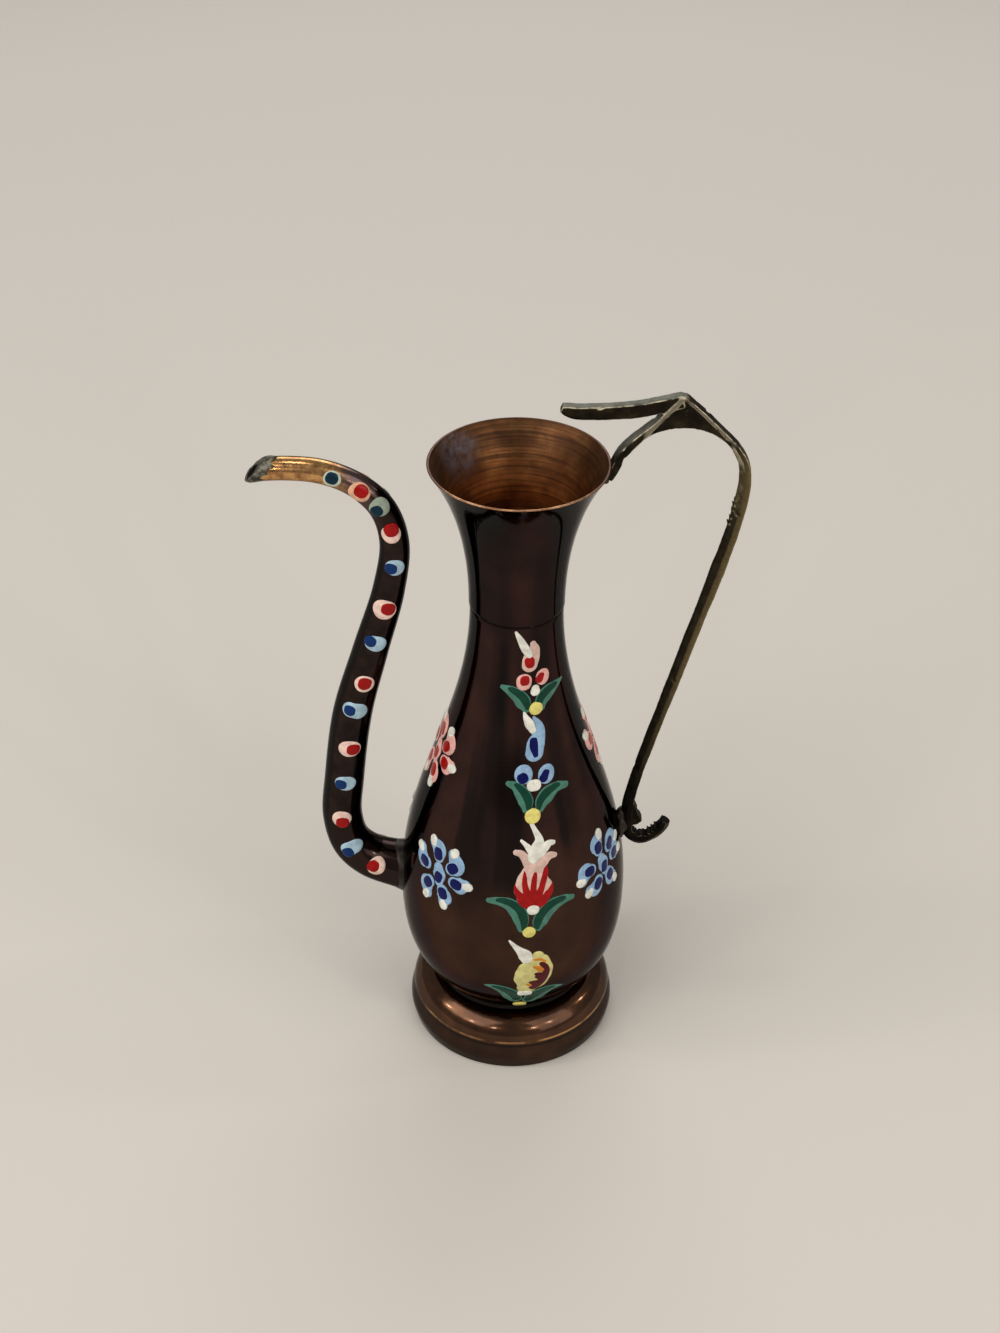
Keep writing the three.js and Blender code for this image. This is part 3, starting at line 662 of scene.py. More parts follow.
class Look:
    """A node material: its nodes, its shader and shorthands for what the looks have in common."""

    def __init__(self, name):
        """An unfinished material with a plain shader."""
        self.made = bpy.data.materials.new(name)
        self.made.use_nodes = True
        self.tree = self.made.node_tree
        self.shader = self.tree.nodes["Principled BSDF"]

    def node(self, kind, **settings):
        """A new shader node; settings are its own properties."""
        made = self.tree.nodes.new("ShaderNode" + kind)
        for name, value in settings.items():
            setattr(made, name, value)
        return made

    def put(self, value, socket):
        """Links an output to a socket, or sets the socket's own number, vector or colour."""
        if hasattr(value, "is_output"):
            self.tree.links.new(value, socket)
        else:
            socket.default_value = value

    @cached_property
    def where(self):
        """Place on the object, in metres."""
        return self.node("TexCoord").outputs["Object"]

    @cached_property
    def place(self):
        """Place on the object, from the jug's axis, in millimetres."""
        shift = self.node("Mapping")
        shift.inputs["Location"].default_value = (-AXIS_X, 0, 0)
        shift.inputs["Scale"].default_value = (1 / MM, 1 / MM, 1 / MM)
        self.put(self.where, shift.inputs["Vector"])
        return shift.outputs["Vector"]

    def axes(self, vector):
        """The three parts of a vector."""
        split = self.node("SeparateXYZ")
        self.put(vector, split.inputs[0])
        return split.outputs

    def normal(self):
        """The three parts of the surface's normal."""
        return self.axes(self.node("NewGeometry").outputs["Normal"])

    def noise(self, scale, detail=3.0, stretch=(1, 1, 1), place=None):
        """Noise with about this many cells per millimetre."""
        squeeze = self.node("Mapping")
        squeeze.inputs["Scale"].default_value = stretch
        texture = self.node("TexNoise")
        texture.inputs["Scale"].default_value = scale
        texture.inputs["Detail"].default_value = detail
        texture.inputs["Roughness"].default_value = NOISE_ROUGHNESS
        self.put(self.place if place is None else place, squeeze.inputs["Vector"])
        self.put(squeeze.outputs["Vector"], texture.inputs["Vector"])
        return texture.outputs["Fac"]

    def ramp(self, value, *stops):
        """A colour or grey that follows a value; stops are (position, colour or grey)."""
        node = self.node("ValToRGB")
        elements = node.color_ramp.elements
        while len(elements) < len(stops):
            elements.new(0.5)
        for element, (position, tone) in zip(elements, stops):
            element.position = position
            element.color = rgba(tone)
        self.put(value, node.inputs["Fac"])
        return node.outputs["Color"]

    def mix(self, factor, first, second, blend="MIX"):
        """One tone laid over another; a tone is an output, a colour or a grey."""
        node = self.node("Mix", data_type="RGBA", blend_type=blend)
        self.put(factor, node.inputs[MIX_FACTOR])
        for tone, socket in ((first, MIX_FIRST), (second, MIX_SECOND)):
            self.put(tone if hasattr(tone, "is_output") else rgba(tone), node.inputs[socket])
        return node.outputs[MIX_RESULT]

    def tinted(self, first, second):
        """The product of two tones."""
        return self.mix(1.0, first, second, "MULTIPLY")

    def maths(self, kind, *values):
        """The result of an operation on numbers."""
        node = self.node("Math", operation=kind)
        for socket, value in zip(node.inputs, values):
            self.put(value, socket)
        return node.outputs[0]

    def times(self, *values):
        """The product of numbers."""
        product = values[0]
        for value in values[1:]:
            product = self.maths("MULTIPLY", product, value)
        return product

    def rest(self, share):
        """What a share leaves of the whole."""
        return self.maths("SUBTRACT", 1.0, share)

    def step(self, value, low, high):
        """A smooth step from 0 at low to 1 at high."""
        node = self.node("MapRange", interpolation_type="SMOOTHSTEP")
        node.inputs["From Min"].default_value = low
        node.inputs["From Max"].default_value = high
        self.put(value, node.inputs["Value"])
        return node.outputs["Result"]

    def vector_maths(self, kind, *values):
        """The outputs of an operation on vectors: Vector, and Value for a distance or length."""
        node = self.node("VectorMath", operation=kind)
        for socket, value in zip(node.inputs, values):
            self.put(value, socket)
        return node.outputs

    def bump(self, *layers):
        """Bumps from (height, depth in millimetres), one over the other."""
        normal = None
        for height, depth in layers:
            node = self.node("Bump")
            node.inputs["Distance"].default_value = depth * MM
            self.put(height, node.inputs["Height"])
            if normal is not None:
                self.put(normal, node.inputs["Normal"])
            normal = node.outputs["Normal"]
        self.put(normal, self.shader.inputs["Normal"])

    def finish(self, **sockets):
        """Links or sets the shader's sockets by name, and hands over the material."""
        for name, value in sockets.items():
            self.put(value, self.shader.inputs[name.replace("_", " ")])
        return self.made


# Materials

def around_axis(look):
    """The direction from the jug's axis, which makes a texture run up and down it."""
    flat = look.vector_maths("MULTIPLY", look.place, (1, 1, 0))["Vector"]
    unit = look.vector_maths("NORMALIZE", flat)["Vector"]
    return look.vector_maths("MULTIPLY_ADD", look.place, (0, 0, STREAK_DRIFT), unit)["Vector"]


def painted_reflection_bands(look):
    """How strongly the bands of painted dark reflection darken the lacquer, at the front and, half a turn
    on, at the back.
    """
    x, y, height = look.axes(look.place)
    angle = look.maths("ARCTAN2", x, look.times(y, -1.0))
    wander = look.maths("MULTIPLY_ADD", look.noise(0.12, 2), 2 * BAND_WANDER, -BAND_WANDER)
    turn = look.maths("MULTIPLY_ADD", angle, 180 / math.pi, wander)
    total = 0.0
    for first, last, low_end, high_end, edge, strength in PAINTED_REFLECTION_BANDS:
        above = look.step(height, low_end - BAND_LOW_FADE, low_end + BAND_LOW_FADE)
        below = look.step(height, high_end, high_end - BAND_HIGH_FADE)
        reach = look.times(above, below)
        for half_turn in (0, 180 if first < 0 else -180):
            entered = look.step(turn, first + half_turn - edge, first + half_turn + edge)
            left = look.step(turn, last + half_turn - edge, last + half_turn + edge)
            band = look.times(look.maths("SUBTRACT", entered, left), strength)
            total = look.maths("MULTIPLY_ADD", band, reach, total)
    return total


def lacquer_look():
    """Dark brown lacquer over copper in long streaks, partly uneven lacquer and partly painted dark
    reflections, with bands of painted dark reflection, warmer where it is thin on the belly.
    """
    look = Look("lacquer")
    height = look.axes(look.place)["Z"]
    low = look.step(height, *THIN_ON_BELLY_Z)
    cloudy = look.noise(0.09, 4)
    thick = look.ramp(cloudy, (0.35, (0.016, 0.0058, 0.0048)), (0.65, (0.034, 0.0120, 0.0095)))
    thin = look.ramp(cloudy, (0.35, (0.038, 0.0165, 0.0098)), (0.65, (0.066, 0.0285, 0.0158)))
    tone = look.mix(low, thick, thin)
    # Streaks that are partly uneven lacquer and partly painted dark reflections
    streaks_and_reflections = look.noise(2.1, 1.5, place=around_axis(look))
    streak_and_reflection_tone = look.ramp(streaks_and_reflections, (0.38, 0.10), (0.50, 0.75), (0.64, 1.35))
    on_neck = look.times(look.step(height, SEAM_Z - LAP_LENGTH, SEAM_Z), NECK_EVENNESS)
    even = look.times(look.maths("MAXIMUM", low, on_neck), EVENNESS)
    streaky = look.mix(look.rest(even), tone, look.tinted(tone, streak_and_reflection_tone))
    # The bands of painted dark reflection laid over the streaky lacquer
    banded = look.mix(painted_reflection_bands(look), streaky, PAINTED_DARK_REFLECTION)
    rough = look.ramp(look.noise(0.25, 4), (0.35, 0.13), (0.7, 0.22))
    spinning_rings = look.noise(1.1, 2, (0.05, 0.05, 1.6))
    look.bump((spinning_rings, 0.010), (look.noise(0.8, 2), 0.010))
    return look.finish(Base_Color=banded, Roughness=rough, Metallic=1.0, Specular_Tint=rgba(0.35),
                       Coat_Weight=0.22, Coat_Roughness=0.06)


def foot_look():
    """The foot's lacquer: thinner, so that more of the copper shows, darker below the groove, with painted
    shade in the groove, and worn off along the lip, where the bright line is partly a painted highlight.
    """
    look = Look("foot_lacquer")
    tone = look.ramp(look.noise(0.12, 4), (0.3, (0.045, 0.020, 0.0105)), (0.55, (0.080, 0.035, 0.0170)),
                     (0.75, (0.13, 0.058, 0.027)))
    height = look.axes(look.place)["Z"]
    # Darker below the groove
    raised = look.maths("MULTIPLY_ADD", look.step(height, GROOVE_Z - 1, LIP_Z), 0.5, 0.5)
    over_groove = look.step(height, GROOVE_Z - GROOVE_SHADE, LIP_Z)
    # Painted shade in the groove under the lip
    painted_groove_shade = look.ramp(over_groove, (0.0, 1.0), (0.45, 0.18), (0.8, 0.3), (1.0, 1.0))
    shaded = look.tinted(look.tinted(tone, painted_groove_shade), raised)
    # The bright line along the lip: worn copper, and partly a painted highlight
    from_lip = look.maths("ABSOLUTE", look.maths("SUBTRACT", height, LIP_Z + LIP_WEAR))
    at_lip = look.rest(look.step(from_lip, LIP_WEAR * 0.4, LIP_WEAR))
    wear = look.noise(3.1, 3, place=around_axis(look))
    worn = look.times(at_lip, look.step(wear, 0.40, 0.6))
    rough = look.ramp(look.noise(0.3, 4), (0.35, 0.15), (0.7, 0.24))
    spinning_rings = look.noise(1.4, 2, (0.04, 0.04, 1.8))
    look.bump((spinning_rings, 0.015), (look.noise(0.6, 2), 0.02))
    return look.finish(Base_Color=look.mix(worn, shaded, WORN_COPPER_AND_HIGHLIGHT), Roughness=rough, Metallic=1.0,
                       Specular_Tint=rgba(0.5), Coat_Weight=0.3, Coat_Roughness=0.05)


def bare_copper_look():
    """Bare copper inside the mouth, browned, with the rings that the spinning tool left, painted shade deep
    in the neck and painted light higher up, a painted shade and highlight line at the flare, and a painted
    greyish sheen.
    """
    look = Look("bare_copper")
    height = look.axes(look.place)["Z"]
    rings = look.noise(1.5, 3, (0.03, 0.03, 1.6))
    tone = look.ramp(look.noise(0.22, 5), (0.3, (0.085, 0.031, 0.0100)), (0.5, (0.145, 0.057, 0.018)),
                     (0.72, (0.22, 0.098, 0.034)))
    ringed = look.tinted(tone, look.ramp(rings, (0.38, 0.55), (0.58, 1.2)))
    # Painted light and shade up the neck: dark deep down, brightest about two thirds up, darker again at the
    # rim
    up_the_neck = look.step(height, SEAM_Z - LAP_LENGTH, RIM_Z)
    depth = look.ramp(up_the_neck, (0.0, 0.12), (0.4, (1.3, 0.95, 0.56)), (0.68, (1.9, 1.55, 1.15)),
                      (0.83, (1.3, 1.15, 1.0)), (0.97, 0.60))
    # Painted shade under the start of the flare, with a painted highlight line along it
    at_flare = look.step(height, FLARE_Z - 1, FLARE_Z + 1)
    painted_flare_shade_and_highlight = look.ramp(at_flare, (0.2, 0.9), (0.38, 0.4), (0.5, 1.6), (0.8, 1))
    flared = look.tinted(look.tinted(ringed, depth), painted_flare_shade_and_highlight)
    # A painted greyish sheen inside the mouth on the spout's side
    away = look.vector_maths("DISTANCE", look.place, PAINTED_SHEEN_PLACE)["Value"]
    near_painted_sheen = look.rest(look.step(away, PAINTED_SHEEN_CORE, PAINTED_SHEEN_REACH))
    painted_sheen = look.times(near_painted_sheen, look.step(look.noise(0.5, 3), 0.2, 0.8))
    look.bump((rings, 0.025), (look.noise(0.9, 3), 0.02))
    return look.finish(Base_Color=look.mix(painted_sheen, flared, (0.18, 0.150, 0.175)), Metallic=0.85,
                       Roughness=look.ramp(rings, (0.3, 0.48), (0.7, 0.34)))


def rim_look():
    """The rim's edge: worn copper, with a painted highlight that keeps the brightest copper to the front."""
    look = Look("worn_rim_and_highlight")
    wear = look.noise(0.55, 4)
    tone = look.ramp(wear, (0.35, (0.24, 0.105, 0.052)), (0.6, (0.52, 0.28, 0.15)),
                     (0.8, (0.74, 0.46, 0.27)))
    # Painted highlight: the worn copper shows bright only on the front of the rim
    painted_front_highlight = look.step(look.axes(look.place)["Y"], -RIM_R * 0.4, -RIM_R * 0.9)
    look.bump((look.noise(1.5, 3), 0.02))
    return look.finish(Base_Color=look.mix(painted_front_highlight, (0.100, 0.048, 0.030), tone), Metallic=0.95,
                       Roughness=look.ramp(wear, (0.3, 0.42), (0.8, 0.26)))


def spout_look():
    """Brown lacquer on the spout, with a painted dark reflection on its outer side, worn to bright copper
    towards the tip.
    """
    look = Look("spout_lacquer")
    x, _, height = look.axes(look.place)
    patchy = look.noise(0.35, 4)
    high = look.step(height, *SPOUT_BEND_Z)
    edge = look.maths("MULTIPLY_ADD", patchy, 2 * WEAR_WANDER, look.maths("SUBTRACT", x, WEAR_WANDER))
    thin = look.times(look.step(edge, *THIN_LACQUER_X), high)
    worn = look.times(look.step(edge, *WORN_LACQUER_X), high)
    patches = look.ramp(patchy, (0.35, 0), (0.7, 1))
    brown = look.mix(patches, (0.010, 0.0052, 0.0050), (0.030, 0.0145, 0.0110))
    low = look.rest(look.step(height, *SPOUT_FOOT_Z))
    warm = look.mix(low, brown, (0.024, 0.0120, 0.0088))
    # Painted dark reflection on the side that faces away from the jug
    painted_dark_side = look.times(look.step(look.normal()["X"], -0.55, -0.72), 0.85)
    hazed = look.mix(thin, look.mix(painted_dark_side, warm, PAINTED_DARK_REFLECTION), (0.115, 0.075, 0.072))
    mottle = look.ramp(look.noise(0.55, 5), (0.3, (0.29, 0.14, 0.058)), (0.5, (0.56, 0.29, 0.112)),
                       (0.7, (0.78, 0.45, 0.172)))
    grain = look.ramp(look.noise(2.5, 4), (0.35, 0.7), (0.6, 1.1))
    scratches = look.noise(2.2, 3, (0.4, 1, 0.4))
    look.bump((scratches, 0.007), (look.noise(0.5, 2), 0.02))
    return look.finish(Base_Color=look.mix(worn, hazed, look.tinted(mottle, grain)), Metallic=1.0,
                       Roughness=look.mix(worn, 0.2, 0.21), Specular_Tint=rgba(0.4),
                       Coat_Weight=0.22, Coat_Roughness=0.08)


def brass_look():
    """Cast brass: near black on its sides, greyed on top, rubbed on the limb with a painted highlight on its
    outward faces, rubbed edges and ridge with painted highlights, and painted shade on the limb's inner
    faces.
    """
    look = Look("aged_brass")
    x, y, height = look.axes(look.place)
    normal_x, normal_y, normal_z = look.normal()
    pits = look.noise(1.6, 5)
    broad = look.noise(0.28, 5)
    aged = look.ramp(broad, (0.3, (0.0065, 0.0050, 0.0036)), (0.5, (0.017, 0.0125, 0.0075)),
                     (0.72, (0.042, 0.031, 0.016)))
    patina = look.tinted(aged, look.ramp(look.step(height, *DARK_TAIL_Z), (0, 0.4), (1, 1)))

    near_limb = look.step(x, *LIMB_X)
    on_limb = look.times(look.step(height, *RUBBED_FROM_Z), look.step(height, *RUBBED_BELOW_Z))
    rubbed = look.times(on_limb, near_limb, 0.8)
    olive = look.mix(rubbed, patina, (0.100, 0.077, 0.038))
    # Painted highlight: the rubbed limb turns yellow on faces turned outward
    painted_outward_highlight = look.step(look.maths("ADD", normal_x, look.times(pits, 0.6)), 0.05, 0.75)
    yellow = look.mix(look.times(painted_outward_highlight, rubbed), olive, (0.190, 0.138, 0.057))

    on_arm = look.times(look.step(x, *BEFORE_APEX_X), look.step(height, *DUSTY_FROM_Z))
    on_top = look.times(normal_z, on_arm)
    topward = look.step(look.maths("MULTIPLY_ADD", pits, 0.4, on_top), 0.5, 0.95)
    dusty = look.ramp(broad, (0.35, (0.085, 0.083, 0.066)), (0.65, (0.165, 0.165, 0.135)))
    capped = look.mix(topward, yellow, dusty)

    # The ribs proud of the web: rubbed brass, partly a painted highlight
    proud_of_web = look.step(look.maths("ABSOLUTE", y), *PROUD_OF_WEB_Y)
    above_arch = look.step(height, *BRIGHT_RIDGE_Z)
    ridge_rub_and_highlight = look.times(proud_of_web, above_arch, look.step(x, *BEYOND_ARM_X), 0.7)
    ridged = look.mix(ridge_rub_and_highlight, capped, (0.30, 0.265, 0.190))

    # Rounded edges: rubbed brass, partly a painted highlight
    sideways = look.maths("ABSOLUTE", normal_y)
    corner = look.times(look.step(sideways, 0.35, 0.6), look.step(sideways, 0.97, 0.85))
    rubbed_edge_highlight = look.times(corner, look.step(look.noise(0.45, 4), 0.38, 0.58))
    on_ribs = look.maths("MULTIPLY_ADD", look.step(height, *BRIGHT_EDGE_Z), 0.85, 0.15)
    edged = look.mix(look.times(rubbed_edge_highlight, on_ribs), ridged, (0.48, 0.43, 0.31))

    # Painted shade on the limb's inner faces
    painted_inner_shade = look.times(look.step(normal_x, -0.2, -0.45), look.step(height, *SHADED_BELOW_Z))
    shaded = look.mix(look.times(painted_inner_shade, near_limb, 0.85), edged, (0.007, 0.005, 0.0035))
    look.bump((pits, 0.05), (look.noise(0.7, 4), 0.08))
    return look.finish(Base_Color=shaded, Metallic=look.ramp(topward, (0, 0.75), (1, 0.3)),
                       Roughness=look.ramp(pits, (0.3, 0.55), (0.7, 0.34)),
                       Specular_Tint=rgba(0.4), Specular_IOR_Level=0.3)


def solder_look(name, grain, tones, rough, depth, **sockets):
    """Crusty solder: grain is its noise, tones and rough run from its hollows up, depth is its bumps'."""
    look = Look(name)
    crust = look.noise(*grain)
    look.bump((crust, depth))
    return look.finish(Base_Color=look.ramp(crust, *tones), Roughness=look.ramp(crust, *rough), **sockets)


def enamel_look(name, code):
    """Glossy hand-laid enamel, a little uneven in tone where the brush left it thick or thin."""
    look = Look("enamel_" + name)
    thin = [c * 0.78 for c in linear(code)]
    thick = [min(1.0, c * 1.06) for c in linear(code)]
    uneven = look.noise(0.7, 3)
    look.bump((look.noise(0.6, 2), 0.03))
    return look.finish(Base_Color=look.ramp(uneven, (0.35, thin), (0.65, thick)),
                       Roughness=look.ramp(uneven, (0.3, 0.30), (0.7, 0.20)), Specular_IOR_Level=0.15)


LACQUER = lacquer_look()
FOOT_LACQUER = foot_look()
BARE_COPPER = bare_copper_look()
WORN_RIM_AND_HIGHLIGHT = rim_look()
SPOUT_LACQUER = spout_look()
BRASS = brass_look()
# Dull grey-green tin and lead, with brown flux in its hollows
SOLDER = solder_look(
    "solder", (1.1, 5),
    [(0.32, (0.026, 0.020, 0.013)), (0.48, (0.085, 0.080, 0.058)), (0.7, (0.23, 0.225, 0.180))],
    [(0.3, 0.75), (0.7, 0.42)], 0.16, Metallic=0.6,
)
# Solder that flux and lacquer have turned dark brown, with some grey metal showing
DARK_SOLDER = solder_look(
    "dark_solder", (0.9, 4),
    [(0.35, (0.011, 0.0075, 0.0055)), (0.65, (0.030, 0.022, 0.016)), (0.8, (0.085, 0.077, 0.062))],
    [(0.3, 0.3), (0.7, 0.5)], 0.08, Metallic=0.6,
)
# Dark lacquered solder deep under the body, in the seam and in the tin's bore, painted black for the shade
# it lies in
PAINTED_SHADE_SOLDER = solder_look(
    "painted_shade_solder", (1.3, 4), [(0.35, (0.0025, 0.0018, 0.0015)), (0.7, (0.010, 0.007, 0.005))],
    [(0.3, 0.6), (0.7, 0.8)], 0.08, Specular_IOR_Level=0.1,
)
PAINTS = {name: enamel_look(name, code) for name, code in ENAMEL.items()}
PAINT_ORDER = list(PAINTS)


# Spun pieces

def make_body():
    """The body, lacquered outside and bare inside, up to the lap within the collar."""
    neck_inner = COLLAR_R - SHEET - LAP_GAP
    lap = np.array([(neck_inner, SEAM_Z), (neck_inner, SEAM_Z + LAP_LENGTH)])
    outer = np.concatenate([body_line, lap])
    inner = np.concatenate([offset(body_line, -SHEET), lap - (SHEET, 0)])
    loop = np.concatenate([outer, inner[::-1]])
    loop[:, 0] = np.maximum(loop[:, 0], POLE_R)
    rows = (np.arange(len(loop)) >= len(outer)).astype(int)
    return spun("body_spun", loop, [LACQUER, BARE_COPPER], ["body_shell"], rows)


def make_collar():
    """The trumpet neck, with a worn edge round its rim that carries a painted highlight at the front."""
    inner = offset(collar_line, -SHEET)
    inner[-1] = (RIM_R - SHEET / math.sin(RIM_SLOPE), RIM_Z)
    top = round_end(collar_line[-1], inner[-1], RIM_BULGE)
    bottom = round_end(inner[0], collar_line[0], LAP_BULGE)
    loop = np.concatenate([collar_line, top, inner[::-1], bottom])
    rim_start = len(collar_line) - 2
    rim_end = len(collar_line) + len(top)
    rows = np.zeros(len(loop), int)
    rows[rim_start:rim_end] = 1
    rows[rim_end:rim_end + len(inner) - 1] = 2
    return spun("collar_spun", loop, [LACQUER, WORN_RIM_AND_HIGHLIGHT, BARE_COPPER], ["neck_collar"], rows)


def make_foot():
    """The hollow foot, one sheet thick."""
    outer = foot_outline()
    inner = offset(outer, -SHEET)
    inner[:2, 1] = SHEET
    loop = np.concatenate([outer, inner[::-1]])
    return spun("foot_spun", loop, [FOOT_LACQUER], ["foot_ring"])


# Spout

tube_turns = ring_turns(TUBE_SIDES)
spout_foot = np.array([-body_radius(SPOUT_BASE_Z), SPOUT_BASE_Z])
spout_line = resample(catmull_rom(np.array(SPOUT_ROUTE, float) + spout_foot, 60), SPOUT_LINE_POINTS)
spout_length = float(np.linalg.norm(np.diff(spout_line, axis=0), axis=1).sum())
spout_along = directions(spout_line)
share_line = np.linspace(0, 1, len(spout_line))
blur = np.hanning(2 * SPOUT_BLUR + 1) / np.hanning(2 * SPOUT_BLUR + 1).sum()
radius_line = np.interp(share_line, *zip(*SPOUT_RADII))
radius_line = np.convolve(np.pad(radius_line, SPOUT_BLUR, "edge"), blur, "valid")


def spout_point(share, turn, extra=0.0):
    """A point on the spout; turn 0 faces the front and a quarter turn faces the jug."""
    share, turn = np.broadcast_arrays(share, turn)
    x, z, tx, tz, radius = (
        np.interp(share, share_line, column) for column in (*spout_line.T, *spout_along.T, radius_line)
    )
    radius = radius + extra
    side = np.sin(turn) * radius
    return np.stack([x + tz * side, -np.cos(turn) * radius, z - tx * side], -1)


def in_belly(point):
    """Whether a point lies within the belly, deeper than the tube's edge dips into it."""
    return math.hypot(point[0], point[1]) < body_radius(point[2]) - SPOUT_DIP


def share_at_belly(turn, extra):
    """Where a side line of the tube comes out of the belly, found by halving."""
    low, high = 0.0, 0.25
    for _ in range(40):
        middle = (low + high) / 2
        if in_belly(spout_point(middle, turn, extra)):
            low = middle
        else:
            high = middle
    return high


def cut_distance(points):
    """How far points lie beyond the slanted cut, along its normal."""
    corner = spout_foot + (SPOUT_TIP_X, SPOUT_TIP_RISE)
    out = (-math.cos(SPOUT_CUT_LEAN), math.sin(SPOUT_CUT_LEAN))
    return (points[..., 0] - corner[0]) * out[0] + (points[..., 2] - corner[1]) * out[1]


def share_at_cut(turn, extra, distance):
    """Where a side line of the tube gets this far beyond the slanted cut."""
    shares = np.linspace(0.8, 1, 2001)
    beyond = cut_distance(spout_point(shares, turn, extra))
    return float(shares[np.argmax(beyond > distance)])


def spout_skin(extra, end_distance):
    """Rings of points from the belly to the slanted cut, each side line with its own ends."""
    starts = np.array([share_at_belly(t, extra) for t in tube_turns])
    ends = np.array([share_at_cut(t, extra, end_distance) for t in tube_turns])
    steps = np.linspace(0, 1, TUBE_STEPS)[:, None]
    return spout_point(starts + (ends - starts) * steps, tube_turns, extra)


def make_spout():
    """The bent tube, open at both ends."""
    skins = [spout_skin(0.0, -TIP_SOLDER), spout_skin(-SPOUT_WALL, -TIP_SOLDER)[::-1]]
    rings = np.concatenate(skins)
    return closed_skin("spout_bent", rings, [SPOUT_LACQUER], ["spout_tube"])


def round_waves(scale):
    """Uneven waves round the tube, one value for each of its side lines."""
    return [noise.noise(Vector((math.cos(t), math.sin(t), 0)) * scale) for t in tube_turns]


def make_tip_solder():
    """The tin over the slanted cut, sagging a little, with the hole that was left in it."""
    rings = []
    waves = round_waves(TIN_EDGE_SCALE)
    for number, (depth, distance, shift, tilt) in enumerate(TIP_SOLDER_RINGS):
        drop = HOLE_DROP if number >= HOLE_RING else 0.0
        extras = depth * (1 + drop * np.sin(tube_turns))
        ragged = TIN_EDGE if number == 0 else 0.0
        reaches = [distance - tilt * math.cos(t) + ragged * wave for t, wave in zip(tube_turns, waves)]
        shares = np.array([share_at_cut(*side) for side in zip(tube_turns, extras, reaches)])
        rings.append(spout_point(shares, tube_turns, extras) - (0, shift, 0))
    rings = np.array(rings)
    for point in rings.reshape(-1, 3):
        point += np.array(noise.noise_vector(Vector(point) * TIN_DENT_SCALE)) * TIN_DENT_DEPTH
    # The tin's rings in the bore are painted black for its shade
    bore_shade = (np.arange(len(rings)) >= BORE_SHADE_RING).astype(int)
    looks = [SOLDER, PAINTED_SHADE_SOLDER]
    return closed_skin("spout_tip_tin", rings, looks, ["spout_tip_solder"], bore_shade)


def make_base_solder():
    """A thin fillet of solder round the spout's foot on the belly."""
    starts = np.array([share_at_belly(t, FILLET_START) for t in tube_turns])
    uneven = 1 + FILLET_UNEVEN * np.array(round_waves(FILLET_SCALE))
    rings = []
    for extra, reach in FILLET_RINGS:
        rings.append(spout_point(starts + reach * uneven / spout_length, tube_turns, extra))
    return closed_skin("spout_base_fillet", rings, [DARK_SOLDER], ["spout_base_solder"])


# Handle and its solder

rim_point = (RIM_R, RIM_Z)
tail_point = (float(body_radius(TAIL_Z)) + TAIL_STANDOFF, TAIL_Z)


def moved(route, start):
    """A route whose (x, height) count from a starting point."""
    return [(x + start[0], z + start[1], *rest) for x, z, *rest in route]


def strap(points, width, end_width=None, bevel=0.0):
    """A closed bar with rounded edges along stations (x, height, thickness); bevel thins its inner half."""
    line = catmull_rom([(x, z, t / 2) for x, z, t in points], STRAP_STEPS)
    widths = np.linspace(width, end_width or width, len(line))
    turn = ring_turns(STRAP_SIDES)
    across, deep = (np.sign(wave) * np.abs(wave) ** EDGE_SQUARENESS for wave in (np.cos(turn), np.sin(turn)))
    deep = deep * (1 - bevel * np.clip(-across, 0, 1))
    rings = []
    for (x, z, half), (tx, tz), wide in zip(line, directions(line[:, :2]), widths):
        rings.append(np.stack([x - tz * half * across, wide / 2 * deep, z + tx * half * across], 1))
    points = np.concatenate(rings)
    faces = grid_faces(len(rings), STRAP_SIDES)
    faces.append(tuple(range(STRAP_SIDES))[::-1])
    faces.append(tuple(range(len(points) - STRAP_SIDES, len(points))))
    return points, faces


def teeth(points, first, last, side, count, size):
    """Small sharp ridges across one side of a strap, between two of its stations."""
    line = catmull_rom([(x, z, t / 2) for x, z, t in points], STRAP_STEPS)
    along = directions(line[:, :2])
    ridges = []
    for step in np.linspace(first * STRAP_STEPS, last * STRAP_STEPS, count).astype(int):
        x, z, half = line[step]
        run = along[step] * size / 2
        out = np.array([-along[step][1], along[step][0]]) * side
        foot = np.array([x, z]) + out * (half - size / 2)
        ridges.append(plate([foot - run, foot + run, foot + out * size * TOOTH_RISE], LIMB_WIDTH))
    return ridges


def plate(corners, width):
    """A flat plate of this width with the corners (x, height)."""
    corners = np.asarray(corners, float)
    count = len(corners)
    sides = [np.stack([corners[:, 0], np.full(count, y), corners[:, 1]], 1) for y in (-width / 2, width / 2)]
    faces = [tuple(range(count)), tuple(range(2 * count - 1, count - 1, -1))]
    faces += [((i + 1) % count, i, count + i, count + (i + 1) % count) for i in range(count)]
    return np.concatenate(sides), faces


def web_corners():
    """Corners of the web: a straight top over an arched underside."""
    x, z = moved([ARCH_CENTRE], rim_point)[0]
    turn = np.linspace(*ARCH_SPAN, 24)
    arch = [(x + ARCH_HALF_WIDTH * math.cos(t), z + ARCH_HEIGHT * math.sin(t)) for t in turn]
    return moved([WEB_START, APEX, APEX_BACK, WEB_SHOULDER], rim_point) + arch


def joined(shells):
    """Several shells as one list of points and one of faces."""
    points, faces, count = [], [], 0
    for shell_points, shell_faces in shells:
        points.append(shell_points)
        faces += [tuple(i + count for i in face) for face in shell_faces]
        count += len(shell_points)
    return np.concatenate(points), faces


def waves_at(skin, scale, shift=(0, 0, 0)):
    """Noise at each point of a skin."""
    return np.array([noise.noise(Vector(p) * scale + Vector(shift)) for p in skin])


